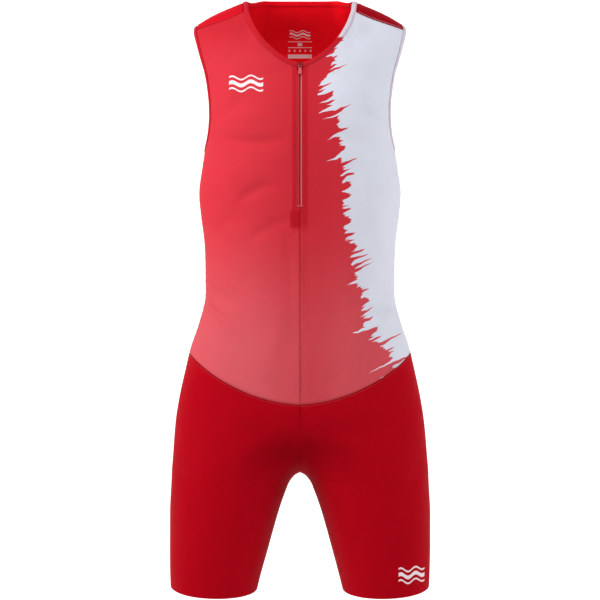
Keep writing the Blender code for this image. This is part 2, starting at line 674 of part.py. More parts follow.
def main():
    for obj in list(bpy.data.objects):
        bpy.data.objects.remove(obj)

    red = new_material("bright_red_knit", (0.70, 0.07, 0.08), 0.6)
    white = new_material("white_knit", (0.72, 0.73, 0.78), 0.6)
    deep_red = new_material("deep_red_knit", (0.40, 0.01, 0.02), 0.5)
    binding = new_material("binding", (0.55, 0.03, 0.05), 0.6)
    tape = new_material("zip_tape", (0.25, 0.01, 0.02), 0.7)

    front = front_grid()
    back, over = back_grids(front[-1])
    waist = np.concatenate([front[0], back[0, -2::-1]])
    waist[0, 0] = waist[-1, 0] = 0
    waist[0] = settled(waist[0])
    leg_outer, leg_inner = leg_grids(waist)

    cloth("front_left", [front], white)
    cloth("front_right", [mirrored(front)], red)
    cloth("back", [back, over, mirrored(back), mirrored(over)], deep_red)
    cloth("leg_left", [leg_outer, leg_inner], deep_red)
    cloth("leg_right", [mirrored(leg_outer), mirrored(leg_inner)], deep_red)
    cloth("neck_binding", neck_band(front, over, back), binding, BAND_WALL, BAND_PROUD, BAND_INSET)
    armhole = arm_band(front, over, back)
    cloth("armhole_binding_left", armhole, binding, BAND_WALL, BAND_PROUD, BAND_INSET)
    cloth("armhole_binding_right", [mirrored(g) for g in armhole], binding, BAND_WALL, BAND_PROUD, BAND_INSET)
    tape_grid, chain_grid = zip_grids(front)
    behind = -(WALL + BEHIND_PANEL)
    cloth("zip_tape_left", [tape_grid], tape, TAPE_WALL, behind)
    cloth("zip_tape_right", [mirrored(tape_grid)], tape, TAPE_WALL, behind)
    cloth("zip_chain", [chain_grid], tape, CHAIN_WALL, behind)
    metal = new_material("dark_slider_enamel", (0.05, 0.01, 0.015), 0.4, 0.6)
    zip_hardware(metal, new_material("red_pull", (0.6, 0.08, 0.10), 0.45))


if __name__ == "__main__":
    main()
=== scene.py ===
"""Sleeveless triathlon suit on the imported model: printed knit panels, bindings, stitching, zip and studio.

Every cloth panel lies on the same body form as its solid, more finely divided, with its folds, seams and
edges worked in. Metres, +Z up, the front faces -Y and the wearer's left is at +X.
"""

import math
from functools import cache, partial

import bmesh
import bpy
import numpy as np
from bpy.props import FloatProperty, StringProperty
from mathutils.kdtree import KDTree
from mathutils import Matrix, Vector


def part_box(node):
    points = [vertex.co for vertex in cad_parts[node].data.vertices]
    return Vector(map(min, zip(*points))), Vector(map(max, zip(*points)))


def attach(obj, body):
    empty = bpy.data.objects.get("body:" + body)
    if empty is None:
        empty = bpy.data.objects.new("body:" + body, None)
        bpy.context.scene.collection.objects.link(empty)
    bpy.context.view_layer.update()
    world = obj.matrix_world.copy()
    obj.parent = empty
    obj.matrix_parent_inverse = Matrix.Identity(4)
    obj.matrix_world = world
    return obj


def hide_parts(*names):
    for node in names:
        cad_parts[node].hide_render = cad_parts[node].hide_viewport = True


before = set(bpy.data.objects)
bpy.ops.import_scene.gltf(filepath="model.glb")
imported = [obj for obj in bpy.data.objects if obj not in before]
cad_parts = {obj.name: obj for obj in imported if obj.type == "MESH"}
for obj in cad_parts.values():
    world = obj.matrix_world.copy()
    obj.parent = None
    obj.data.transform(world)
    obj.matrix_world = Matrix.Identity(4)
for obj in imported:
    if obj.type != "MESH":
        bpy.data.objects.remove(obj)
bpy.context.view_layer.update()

bl_info = {
    "name": "Triathlon suit",
    "version": (1, 0, 0),
    "blender": (4, 5, 0),
    "location": "3D View > Sidebar > Suit",
    "description": "Builds a sleeveless triathlon suit in its worn shape on the packed model",
    "category": "Object",
}

MM = 0.001
BODY = "suit"

# ---- The body form: half widths, and depths in front of and behind the side seams, by height, in mm ----

SQUARENESS = 2.3
GAUGE = 100 * MM
TORSO = {
    "height": (60, 20, -20, -60, -90, -130, -170, -209, -236, -274, -311, -348, -403, -440, -477, -514, -551,
               -588, -625, -662, -700, -760),
    "half_width": (212, 212, 198, 173, 161, 151, 147, 146, 150, 155, 152, 147, 145, 146, 155.5, 168, 177,
                   185, 191, 194, 197, 199),
    "front": (66, 70, 80, 92, 100, 113, 120, 121, 119.5, 116.5, 113.5, 110.5, 107.5, 107.5, 109, 111.5, 113.5,
              113.5, 111, 106, 100, 92),
    "back": (70, 78, 94, 106, 111, 114.5, 114, 109.5, 106, 100, 95, 89, 83.5, 84, 90, 101, 113,
             121, 123.5, 121, 114, 104),
}
LEG = {
    "height": (-560, -600, -640, -680, -700, -717, -736, -754, -791, -828, -865, -900),
    "inner": (-40, -30, -20, -8, 6, 17.5, 24.7, 30.8, 41.6, 51.6, 61.6, 70),
    "outer": (179.5, 187, 192.6, 195.7, 197.3, 198, 199, 200, 200.3, 200.3, 199.6, 198),
    "front": (108, 106, 102, 97, 94, 92, 90.5, 89, 86, 82.5, 79, 76),
    "back": (112, 118, 119, 112, 107, 103, 99, 96.5, 92, 87, 82.5, 79),
}
LEGS_PART_HEIGHT = -706 * MM
HIPS_WHOLE_HEIGHT = -600 * MM
CLEFT_SOFTNESS = 10 * MM
LEG_REACH = 115 * MM
NECK_POINT_WIDTH = 81.7 * MM
NECK_POINT_HEIGHT = 21.5 * MM
SHOULDER_SLOPE = 0.40
RIDGE_SET_BACK = 15 * MM
NECK_RISE = 60.0
SHOULDER_BEND = 5.0
SHOULDER_ROUNDING = 50 * MM
CORE_DEPTH = 45 * MM

# ---- Seams and edges, seen from the front, in mm ----

WAIST_SEAM = {"centre_front": -594.7 * MM, "side": -520 * MM, "centre_back": -494 * MM, "curve": 1.75}
NECK_SEAM = {
    "across": (0, 13.8, 30.3, 48.5, 64.0, 75.0, 84.8),
    "height": (-96, -91.5, -82.5, -67.1, -50.1, -30.9, -4.2),
}
BACK_NECK_SEAM = {
    "across": (0, 30, 55, 73, 84, 89),
    "depth": (76, 74, 66, 50, 26, 0),
    "height": (26.0, 25.5, 24.0, 20.5, 18.0, 16.5),
}
ARM_SEAM = {
    "across": (146, 145.3, 142, 138, 135, 134.5, 136, 138.5, 142, 146.5, 151.5, 157),
    "depth": (0, -20, -38, -50, -56.5, -58.5, -57.5, -55, -51, -45, -36, -22.5),
    "height": (-215, -211.5, -202, -188, -170, -150, -128, -106, -84, -63, -45, -28.7),
}
BACK_ARM_SEAM = {
    "across": (146, 145.3, 141.5, 137, 134, 133.5, 135, 138, 142, 147, 152.5, 157, 158.5),
    "depth": (0, 20, 38, 50, 57, 60, 61, 61, 60, 56.5, 48, 26, 0),
    "height": (-215, -211.5, -202, -188, -170, -150, -128, -106, -84, -60, -40, -22, -17),
}
SHOULDER_SEAM = {"across": (84.8, 105, 130, 157.0), "height": (-4.2, -13.5, -21.8, -28.7)}
HEM_HEIGHT = -881 * MM
HEM_DIP = 6 * MM
HEM_INNER_DROP = 3 * MM
ZIP_TOP = NECK_SEAM["height"][0] * MM
ZIP_END = -300 * MM
TAPE_END = -334 * MM
SLOT_HALF = 1.0 * MM
SLOT_TOP_HALF = 3.4 * MM
SLOT_WIDE_END = -98 * MM
SLOT_NARROW_START = -112 * MM
NECK_BAND_WIDTH = 7.5 * MM
ARM_BAND_WIDTH = 6.0 * MM
NECK_CENTRE = (0, 0, 40 * MM)
ARM_CENTRE = (175 * MM, 0, -110 * MM)
TAPE_WALL = 0.8 * MM
TAPE_SET_BACK = 1.3 * MM
CHAIN_SET_BACK = 0.6 * MM
CHAIN_SHORT = 0.5 * MM  # how far the tapes and the coil stop short of their solids' tops
COIL_CORE_HALF = 2.0 * MM
COIL_CORE_SET_BACK = 0.7 * MM
TOOTH_LENGTH = 2.3 * MM
TOOTH_THICKNESS = 1.15 * MM
TOOTH_ASIDE = 0.95 * MM
ROW_LIFT = 0.12 * MM
ROW_STEPS = 260
NECK_ROW_GAP, NECK_ROW_LIFT = 1.6 * MM, 0.85 * MM
ZIP_ROW_GAP = 3.6 * MM
TACK_HALF, TACK_LIFT = 3.8 * MM, 0.35 * MM
TACK_FIRST, TACK_PITCH = 0.4 * MM, 0.55 * MM
TACK_STITCH = (1.5 * MM, 1.4 * MM, 0.6 * MM)  # pitch, length, thickness
STITCH_SHARE = 0.82  # a stitch's visible length, as a share of the pitch
LAMPS_AIM = -0.44
GROOVE = 0.75 * MM  # how deep a seam pulls the cloth in
LIP = 0.25  # how far a cut edge rounds out, as a share of the wall
# painted shade: how much it darkens the cloth in a seam and in its hollows
PAINTED_SHADE_DEPTH = 0.5  # how much darker the cloth is in a seam

PAINTED_SHADES = (
    # painted shade in the cloth's hollows, in mm: side, x, z, half width, half height, share
    (-1, -33, -671, 40, 28, 0.5),
    (-1, 27, -668, 42, 28, 0.46),
    (-1, 93, -31, 13, 14, 0.22),
    (1, -26, -684, 26, 30, 0.4),
    (1, 26, -684, 26, 30, 0.4),
)

# ---- Prints, in mm ----

NECK_PRINT = (
    # height, half width, half height, and whether it is a row of ticks
    (-27.5, 19, 0.5, False),
    (-31.8, 3.6, 2.4, False),
    (-36.5, 19, 0.5, False),
    (-41.3, 18.5, 1.5, True),
    (-50, 19, 3.0, False),
)
BRUSH_LOW, BRUSH_MIDDLE, BRUSH_HIGH, BRUSH_WIDE = -640, -320, 0, 220
BRUSH_SLANT = 0.45
BRUSH_PATH = {
    "height": (-640, -545, -520, -496, -470, -425, -366, -292, -218, -165, -150, -140, -131, -121, -110, -98,
               -84, -50, 0),
    "across": (168, 134, 112, 98, 95, 88, 74, 64, 61, 60, 54, 42, 30, 23, 27, 36, 47, 53, 56),
}
BRUSH_MARKS = {  # width along the edge, and reach over the white, or back into the red
    "nick": (3.0, 5.0),
    "tooth": (5.5, 12.0),
    "lobe": (13.0, 10.0),
    "slash": (6.0, 25.0),
    "slit": (4.5, -20.0),
}

# ---- How finely each stretch is divided ----

FINENESS = 7
ZIP_ROWS = 17 * FINENESS
NECK_ROWS = 5 * FINENESS
SIDE_ROWS = 12 * FINENESS
FRONT_COLUMNS = 9 * FINENESS
BACK_NECK_COLUMNS = 5 * FINENESS
OVER_SHOULDER_ROWS = 3 * FINENESS
HIP_ROWS = 6 * FINENESS
THIGH_ROWS = 7 * FINENESS
INNER_LEG_COLUMNS = 5 * FINENESS
PANEL_ROWS = ZIP_ROWS + NECK_ROWS
TOP_HOLD = 4

# ---- Soft folds: the main ones, from start to end, on the front (-1) or the back (1) of the suit, in mm ----

FOLDS = (
    # side, start x, z, end x, z, bow, half width, depth (negative is a trough)
    (-1, -116, -197, -28, -206, -6, 9, -4.6),
    (-1, -108, -160, -50, -170, -5, 15, 3),
    (-1, -92, -294, -38, -270, 4, 8, -3.8),
    (-1, -112, -262, -66, -248, 4, 16, 3),
    (-1, -143, -442, -99, -474, -5, 6, -4.6),
    (-1, -140, -458, -92, -490, -4, 8, 2.8),
    (-1, -142, -424, -96, -440, -3, 10, -2),
    (-1, -74, -352, -14, -322, 5, 9, -2.6),
    (-1, -124, -330, -84, -318, 3, 10, -1.8),
    (-1, -46, -524, -28, -440, -5, 12, 2),
    (-1, 3.2, -508, 3.2, -592, 0, 2.6, -1.6),
    (-1, -110, -96, -80, -128, 0, 30, 3),
    (-1, 96, -100, 74, -130, 0, 28, 2.4),
    (-1, 118, -204, 52, -196, 6, 11, -2.5),
    (-1, 128, -176, 78, -150, 5, 9, -1.9),
    (-1, -128, -168, -84, -140, -5, 9, -1.5),
    (-1, 140, -446, 100, -462, 4, 7, -3.4),
    (-1, 143, -462, 104, -480, 4, 7, 1.7),
    (-1, 138, -398, 96, -408, 3, 8, -1.9),
    (-1, -22, -354, -14, -442, 3, 7, -1.7),
    (-1, 12, -366, 20, -470, -4, 10, -1.7),
    (-1, -60, -560, -20, -572, -2, 12, -1.5),
    (-1, 64, -548, 26, -566, 3, 12, -1.4),
    (-1, -12, -640, -52, -676, 6, 10, -3.7),
    (-1, 12, -642, 56, -678, -6, 10, -3.7),
    (-1, -14, -668, -76, -690, 5, 8, -2.7),
    (-1, 14, -672, 70, -698, -5, 8, -2.5),
    (-1, -30, -620, -104, -640, 6, 11, -1.7),
    (-1, 30, -622, 112, -636, -6, 12, -1.7),
    (-1, -178, -700, -150, -760, 6, 12, -1.7),
    (-1, 180, -690, 156, -770, -6, 12, -1.9),
    (-1, -70, -800, -84, -862, 3, 10, -1.4),
    (-1, 84, -790, 96, -860, -3, 10, -1.4),
    (1, -136, -392, -62, -410, 6, 9, -4.1),
    (1, 132, -400, 50, -414, -7, 9, -3.7),
    (1, -128, -424, -44, -436, 5, 10, 2.4),
    (1, 126, -430, 30, -440, -5, 10, 2.2),
    (1, -96, -446, 84, -452, 5, 8, -3.4),
    (1, -120, -360, -70, -372, 4, 9, -2),
    (1, 122, -352, 66, -368, -4, 9, -2.2),
    (1, -130, -176, -72, -126, 8, 12, -2.5),
    (1, 128, -180, 66, -132, -8, 12, -2.7),
    (1, -20, -640, -72, -700, 8, 11, -3.4),
    (1, 20, -644, 80, -704, -8, 11, -3.6),
    (1, -30, -690, -104, -716, 7, 9, -3.7),
    (1, 28, -692, 110, -714, -7, 9, -3.7),
    (1, -178, -640, -128, -668, 6, 11, -1.9),
    (1, 176, -644, 132, -676, -6, 11, -1.7),
)


def through(knots, values, at):
    """A smooth curve through the values at its knots, read at other places."""
    slopes = np.gradient(values, knots, axis=0)
    low = np.clip(np.searchsorted(knots, at) - 1, 0, len(knots) - 2)
    span = knots[low + 1] - knots[low]
    t = (at - knots[low]) / span
    if values.ndim > 1:
        span, t = span[:, None], t[:, None]
    return (
        (2 * t**3 - 3 * t**2 + 1) * values[low]
        + (t**3 - 2 * t**2 + t) * span * slopes[low]
        + (3 * t**2 - 2 * t**3) * values[low + 1]
        + (t**3 - t**2) * span * slopes[low + 1]
    )


def table(rows, column, at):
    """A table's column at the given heights, in metres."""
    order = np.argsort(rows["height"])
    knots, values = (np.array(rows[name], float)[order] * MM for name in ("height", column))
    return through(knots, values, np.clip(at, knots[0], knots[-1]))


def smooth_step(low, high, value):
    t = np.clip((value - low) / (high - low), 0, 1)
    return t * t * (3 - 2 * t)


def smooth_max(a, b, width):
    near = np.maximum(width - np.abs(a - b), 0) / width
    return np.maximum(a, b) + near * near * width / 4


def ridge_height(across):
    return (
        NECK_POINT_HEIGHT
        - SHOULDER_SLOPE * (across - NECK_POINT_WIDTH)
        + NECK_RISE * np.maximum(NECK_POINT_WIDTH - across, 0) ** 2
    )


def outside(points):
    """How far points lie outside the body form, roughly in metres; negative inside it."""
    x, y, z = points[..., 0], points[..., 1], points[..., 2]
    across = np.abs(x)
    depth = np.where(y < 0, table(TORSO, "front", z), table(TORSO, "back", z))
    power = SQUARENESS
    wide = across / table(TORSO, "half_width", z)
    torso = (wide**power + np.abs(y / depth) ** power) ** (1 / power) - 1
    inner, outer = table(LEG, "inner", z), table(LEG, "outer", z)
    centre, half = (inner + outer) / 2, (outer - inner) / 2
    depth = np.where(y < 0, table(LEG, "front", z), table(LEG, "back", z))
    soft_across = np.sqrt(x * x + CLEFT_SOFTNESS**2)
    from_centre = np.where(across < centre, centre - soft_across, across - centre)
    legs = ((from_centre / half) ** 2 + (y / depth) ** 2) ** 0.5 - 1
    whole = smooth_step(LEGS_PART_HEIGHT, HIPS_WHOLE_HEIGHT, z)
    body = GAUGE * (whole * torso + (1 - whole) * legs)
    roof = z - ridge_height(across) + SHOULDER_BEND * (y - RIDGE_SET_BACK) ** 2
    return smooth_max(body, roof * math.cos(math.atan(SHOULDER_SLOPE)), SHOULDER_ROUNDING)


def slopes_at(points):
    """How fast the distance outside the form grows along x, y and z."""
    step = 0.2 * MM
    slopes = [outside(points + step * axis) - outside(points - step * axis) for axis in np.eye(3)]
    return np.stack(slopes, axis=-1) / (2 * step)


def outward(points):
    """The unit direction out of the form at each point."""
    slopes = slopes_at(points)
    return slopes / np.linalg.norm(slopes, axis=-1, keepdims=True)


def settled(points, rounds=12):
    """Points moved straight onto the form."""
    for _ in range(rounds):
        slopes = slopes_at(points)
        size = np.maximum((slopes**2).sum(axis=-1), 0.05)
        points = points - 0.9 * slopes * (outside(points) / size)[..., None]
    return points


def cast(starts, ways, reach=0.45):
    """Where rays from inside the form come out of it."""
    ways = ways / np.linalg.norm(ways, axis=-1, keepdims=True)
    near, far = np.zeros(starts.shape[:-1]), np.full(starts.shape[:-1], reach)
    for _ in range(34):
        middle = (near + far) / 2
        inside = outside(starts + middle[..., None] * ways) < 0
        near, far = np.where(inside, middle, near), np.where(inside, far, middle)
    return starts + near[..., None] * ways


# ---- Panels, as grids of points on the form ----


def widest(height):
    return table(TORSO, "half_width", np.minimum(height, -50 * MM))


def across_of(turn, height):
    return widest(height) * np.sin(turn) ** (2 / SQUARENESS)


def turn_of(across, height):
    return np.arcsin(np.clip(across / widest(height), 0, 1) ** (SQUARENESS / 2))


def core_height(across):
    return NECK_POINT_HEIGHT - SHOULDER_SLOPE * (across - NECK_POINT_WIDTH) - CORE_DEPTH


def panel_points(turn, height, facing):
    """Points on the form from a turn round it and a height; facing is -1 for a front and 1 for the back."""
    across = across_of(turn, height)
    core = core_height(across)
    over = np.maximum(height - core, 0) / CORE_DEPTH if facing > 0 else np.zeros_like(height)
    level = np.where(over > 0, core, height)
    depth = table(TORSO, "front" if facing < 0 else "back", level)
    depth = depth * np.maximum(np.cos(turn), 0) ** (2 / SQUARENESS)
    turned = smooth_step(math.radians(66), math.radians(88), turn)
    lean = 1 - 0.6 * turned * smooth_step(-60 * MM, -120 * MM, height)
    starts = np.stack([lean * across, np.zeros_like(across), level], axis=-1)
    flat = np.stack([across, facing * depth, level], axis=-1) - starts
    arc = np.stack([np.zeros_like(across), np.cos(over), np.sin(over)], axis=-1)
    return cast(starts, np.where((over > 0)[..., None], arc, flat))


def length_over(points):
    core = core_height(points[..., 0])
    over = np.arctan2(points[..., 2] - core, points[..., 1])
    return np.where(points[..., 2] > core, core + CORE_DEPTH * over, points[..., 2])


def lengths_along(points):
    return np.concatenate([[0], np.cumsum(np.linalg.norm(np.diff(points, axis=0), axis=1))])


def evenly(points, count):
    """A curve's points shared out at equal lengths along it."""
    lengths = lengths_along(points)
    at = np.linspace(0, lengths[-1], count + 1)
    return np.stack([np.interp(at, lengths, points[:, k]) for k in range(points.shape[1])], axis=1)


def smooth_curve(rows, columns, count):
    """A table's rows as a smooth curve of count + 1 points, evenly spaced."""
    knots = np.stack([np.array(rows[name], float) * MM for name in columns], axis=1)
    at = lengths_along(knots)
    return evenly(through(at, knots, np.linspace(0, at[-1], 2400)), count)


def coons(inner, outer, bottom, top, hold=1):
    """Fills a patch between four edges that share their corners. Rows run from bottom to top."""
    v = np.linspace(0, 1, len(inner))[:, None, None] ** hold
    u = np.linspace(0, 1, len(bottom))[None, :, None]
    across = (1 - u) * inner[:, None] + u * outer[:, None]
    along = (1 - v) * bottom[None] + v * top[None]
    corners = (1 - v) * ((1 - u) * bottom[0] + u * bottom[-1]) + v * ((1 - u) * top[0] + u * top[-1])
    return across + along - corners


def panel_coordinates(across, height):
    return np.stack([turn_of(across, height), height], axis=-1)


def coordinates_of(points):
    across, y, z = np.maximum(points[:, 0], 0), points[:, 1], points[:, 2]
    depth = np.where(y < 0, table(TORSO, "front", z), table(TORSO, "back", z))
    shares = np.array([across / table(TORSO, "half_width", z), np.abs(y) / depth])
    low_turn = np.arctan2(*shares ** (SQUARENESS / 2))
    length = np.where(y < 0, z, length_over(points))
    low = smooth_step(-100 * MM, -150 * MM, z)
    return np.stack([low * low_turn + (1 - low) * turn_of(across, length), length], axis=-1)


def waist_edge(facing, columns):
    turn = np.linspace(0, math.pi / 2, columns + 1)
    side, middle = WAIST_SEAM["side"], WAIST_SEAM["centre_front"]
    if facing < 0:
        height = middle + (side - middle) * np.sin(turn) ** (2 / SQUARENESS * WAIST_SEAM["curve"])
    else:
        height = side + (WAIST_SEAM["centre_back"] - side) * np.cos(turn)
    return np.stack([turn, height], axis=-1)


def slot_half(height):
    wide = smooth_step(SLOT_NARROW_START, SLOT_WIDE_END, height)
    zipped = smooth_step(ZIP_END - 4 * MM, ZIP_END, height)
    return zipped * (SLOT_HALF + wide * (SLOT_TOP_HALF - SLOT_HALF))


def side_seam():
    height = np.linspace(WAIST_SEAM["side"], ARM_SEAM["height"][0] * MM, SIDE_ROWS + 1)
    return np.stack([np.full_like(height, math.pi / 2), height], axis=-1)


def front_grid():
    """The wearer's left front: rows from the waist seam up, columns from the centre out."""
    arm_rows = PANEL_ROWS - SIDE_ROWS
    zip_height = np.linspace(WAIST_SEAM["centre_front"], ZIP_TOP, ZIP_ROWS + 1)
    neck = smooth_curve(NECK_SEAM, ("across", "height"), NECK_ROWS)
    neck[:, 0] = np.maximum(neck[:, 0], slot_half(neck[:, 1]))
    centre = panel_coordinates(slot_half(zip_height), zip_height)
    inner = np.concatenate([centre, panel_coordinates(neck[1:, 0], neck[1:, 1])])
    arm = settled(smooth_curve(ARM_SEAM, ("across", "depth", "height"), arm_rows))
    outer = np.concatenate([side_seam(), coordinates_of(arm)[1:]])
    shoulder = smooth_curve(SHOULDER_SEAM, ("across", "height"), FRONT_COLUMNS)
    top = panel_coordinates(shoulder[:, 0], shoulder[:, 1])
    grid = coons(inner, outer, waist_edge(-1, FRONT_COLUMNS), top)
    return panel_points(grid[..., 0], grid[..., 1], -1)


def back_grids(shoulder_seam):
    """The back's left half up to the shoulder's ridge, and its stretch over it to the shoulder seam."""
    arm_rows = PANEL_ROWS - SIDE_ROWS
    neck = settled(smooth_curve(BACK_NECK_SEAM, ("across", "depth", "height"), BACK_NECK_COLUMNS))
    neck[0, 0] = 0
    neck_line = panel_coordinates(neck[:, 0], length_over(neck))
    ridge_across = np.linspace(neck[-1, 0], BACK_ARM_SEAM["across"][-1] * MM, FRONT_COLUMNS + 1)
    ridge = panel_coordinates(ridge_across, core_height(ridge_across) + CORE_DEPTH * math.pi / 2)
    ridge[0] = neck_line[-1]
    arm_line = coordinates_of(settled(smooth_curve(BACK_ARM_SEAM, ("across", "depth", "height"), arm_rows)))
    arm_line[-1] = ridge[-1]
    height = np.linspace(WAIST_SEAM["centre_back"], neck_line[0, 1], PANEL_ROWS + 1)
    centre = np.stack([np.zeros_like(height), height], axis=-1)
    outer = np.concatenate([side_seam(), arm_line[1:]])
    bottom = waist_edge(1, BACK_NECK_COLUMNS + FRONT_COLUMNS)
    grid = coons(centre, outer, bottom, np.concatenate([neck_line, ridge[1:]]), TOP_HOLD)
    main = panel_points(grid[..., 0], grid[..., 1], 1)
    rows = [main[-1, BACK_NECK_COLUMNS:]]
    for row in range(1, OVER_SHOULDER_ROWS):
        share = row / OVER_SHOULDER_ROWS
        across = (1 - share) * rows[0][:, 0] + share * shoulder_seam[:, 0]
        length = (1 - share) * length_over(rows[0]) + share * length_over(shoulder_seam)
        rows.append(panel_points(turn_of(across, length), length, 1))
    rows.append(shoulder_seam)
    return main, np.stack(rows)


def leg_core(height):
    middle = (table(LEG, "inner", height) + table(LEG, "outer", height)) / 2
    return np.stack([middle, np.zeros_like(height), height], axis=-1)


def crotch_seam(front_waist, back_waist):
    """The seam in the middle plane, from the front waist under the crotch to the back one."""
    core = np.array([0, 10 * MM, -600 * MM])
    turns = [math.atan2(core[2] - p[2], core[1] - p[1]) for p in (front_waist, back_waist)]
    turn = np.linspace(turns[0], turns[1] % (2 * math.pi), 1200)
    ways = np.stack([np.zeros_like(turn), -np.cos(turn), -np.sin(turn)], axis=-1)
    return cast(np.broadcast_to(core, ways.shape), ways)


def hem_points(turn):
    height = HEM_HEIGHT - HEM_DIP * np.cos(turn) + HEM_INNER_DROP * np.sin(turn)
    ways = np.stack([np.sin(turn), -np.cos(turn), np.zeros_like(turn)], axis=-1)
    return cast(leg_core(height), ways, LEG_REACH)


def leg_grids(waist):
    """The left leg: rows from waist seam to hem round its outside, and the inside below the crotch."""
    front_turns = np.radians(np.linspace(-64, 90, FRONT_COLUMNS + 1))
    back_turns = np.radians(np.linspace(90, 236, BACK_NECK_COLUMNS + FRONT_COLUMNS + 1))
    turns = np.concatenate([front_turns, back_turns[1:]])
    seam = crotch_seam(waist[0], waist[-1])
    lengths = lengths_along(seam)
    cuts = np.array([0, 0.37, 0.56, 1]) * lengths[-1]
    parts = []
    for low, high, count in zip(cuts[:-1], cuts[1:], (HIP_ROWS, INNER_LEG_COLUMNS, HIP_ROWS)):
        at = np.linspace(low, high, count + 1)
        parts.append(np.stack([np.interp(at, lengths, seam[:, k]) for k in range(3)], axis=1))
    front_rise, under, back_rise = parts[0], parts[1], parts[2][::-1]
    share = (turns - turns[0]) / (turns[-1] - turns[0])
    fork_front, fork_back = front_rise[-1], back_rise[-1]
    height = (1 - share) * fork_front[2] + share * fork_back[2] - 16 * MM * np.sin(math.pi * share)
    ways = np.stack([np.sin(turns), -np.cos(turns), np.zeros_like(turns)], axis=-1)
    level = cast(leg_core(height), ways, LEG_REACH)
    level[0], level[-1] = fork_front, fork_back
    reach = 3 * FINENESS
    blend = (np.arange(1, reach) / reach)[:, None]
    level[1:reach] = level[0] + (level[reach] - level[0]) * blend
    level[-2:-reach - 1:-1] = level[-1] + (level[-reach - 1] - level[-1]) * blend
    level[1:-1] = settled(level)[1:-1]
    upper = coons(front_rise, back_rise, waist, level)
    upper[1:, 1:-1] = settled(upper)[1:, 1:-1]
    hem = hem_points(turns)
    fall = np.linspace(0, 1, THIGH_ROWS + 1)[:, None, None]
    lower = settled((1 - fall) * upper[-1][None] + fall * hem[None])
    lower[0], lower[-1] = upper[-1], hem
    inner_hem = hem_points(np.linspace(turns[-1], turns[0] + 2 * math.pi, INNER_LEG_COLUMNS + 1))
    inner = coons(lower[:, -1], lower[:, 0], under[::-1], inner_hem)
    inner[1:-1, 1:-1] = settled(inner)[1:-1, 1:-1]
    return np.concatenate([upper, lower[1:]]), inner, seam


def mirrored(points):
    return points * np.array([-1, 1, 1])


class Pattern:
    """Every panel grid and every sewn line of the suit, worked out once."""

    def __init__(self):
        self.front = front_grid()
        self.back, self.over = back_grids(self.front[-1])
        waist = np.concatenate([self.front[0], self.back[0, -2::-1]])
        waist[0, 0] = waist[-1, 0] = 0
        waist[0] = settled(waist[0])
        self.waist = waist
        self.leg, self.inner_leg, self.crotch = leg_grids(waist)
        self.side = self.front[: SIDE_ROWS + 1, -1]
        self.neck = np.concatenate([
            self.front[ZIP_ROWS:, 0], self.over[-2:0:-1, 0], self.back[-1, BACK_NECK_COLUMNS::-1]
        ])
        self.armhole = np.concatenate([
            self.front[PANEL_ROWS:SIDE_ROWS:-1, -1], self.back[SIDE_ROWS:, -1], self.over[1:, -1]
        ])
        self.zip_edge = self.front[: ZIP_ROWS + 1, 0]
        self.front_seam = self.zip_edge[self.zip_edge[:, 2] < ZIP_END - 8 * MM]
        self.seams = [
            self.waist, self.side, self.front[-1], self.neck, self.armhole, self.crotch, self.front_seam
        ]
        self.tree, self.along = self.index_of_seams()

    def index_of_seams(self):
        """A search tree of points down every sewn line, with each point's length along its line."""
        points, along = [], []
        for number, line in enumerate(self.seams):
            fine = evenly(line, max(int(lengths_along(line)[-1] / (1.5 * MM)), 8))
            for side in (fine, mirrored(fine)):
                points.append(side)
                along.append(lengths_along(side) + 0.37 * number)
        points, along = np.concatenate(points), np.concatenate(along)
        tree = KDTree(len(points))
        for number, place in enumerate(points):
            tree.insert(place, number)
        tree.balance()
        return tree, along

    def from_seams(self, points):
        """For each point, its distance from the nearest sewn line and the length along that line."""
        found = [self.tree.find(place) for place in points]
        return np.array([f[2] for f in found]), self.along[[f[1] for f in found]]


def fold_offsets(points):
    """How far the cloth stands off the form: the soft folds, and a slow unevenness all over."""
    x, y, z = points[:, 0] / MM, points[:, 1] / MM, points[:, 2] / MM
    offset = 0.35 * np.sin(x / 41 + 1.3 * np.sin(z / 67)) * np.sin(z / 53 + y / 71)
    for side, x0, z0, x1, z1, bow, width, depth in FOLDS:
        way = np.array([x1 - x0, z1 - z0], float)
        length = np.linalg.norm(way)
        way /= length
        along = ((x - x0) * way[0] + (z - z0) * way[1]) / length
        apart = (x - x0) * -way[1] + (z - z0) * way[0] - bow * 4 * along * (1 - along)
        ends = smooth_step(-0.22, 0.3, along) * smooth_step(1.28, 0.6, along)
        widening = width * (0.75 + 0.5 * np.clip(along, 0, 1))
        facing = smooth_step(-12, 25, side * y)
        offset += depth * np.exp(-((apart / widening) ** 2)) * ends * facing
    return offset * MM


def seam_offsets(distance, along, groove):
    """The dip of the cloth into its seams, and the small puckers that the thread draws up beside them."""
    distance, along = distance / MM, along / MM
    wave = np.sin(2 * math.pi * along / 10.5 + 2.1 * np.sin(along / 23))
    pucker = wave * np.exp(-(((distance - 3.5) / 3.5) ** 2))
    swell = 0.28 * np.exp(-(((distance - 3.2) / 1.8) ** 2))
    return MM * (swell + 0.16 * pucker) - groove * np.exp(-((distance / 1.3) ** 2))


def seam_fade(points):
    """1 on most seams; less on the front of the crotch seam, and under the neck binding."""
    x, y, z = points.T / MM
    crotch = 0.85 * (np.abs(x) < 6) * smooth_step(-600, -650, z)
    neck = 0.6 * smooth_step(92, 80, np.abs(x)) * smooth_step(-102, -94, z)
    return 1 - np.maximum(crotch, neck) * (y < 0)


def painted_hollow_shade(points):
    """How much painted shade darkens the cloth in its hollows: round the crotch and at the left end of the
    neck.
    """
    x, y, z = points.T / MM
    share = np.zeros(len(points))
    for side, across, height, half_width, half_height, depth in PAINTED_SHADES:
        away = ((x - across) / half_width) ** 2 + ((z - height) / half_height) ** 2
        share = share + depth * np.exp(-away) * smooth_step(-20, 10, side * y)
    return share


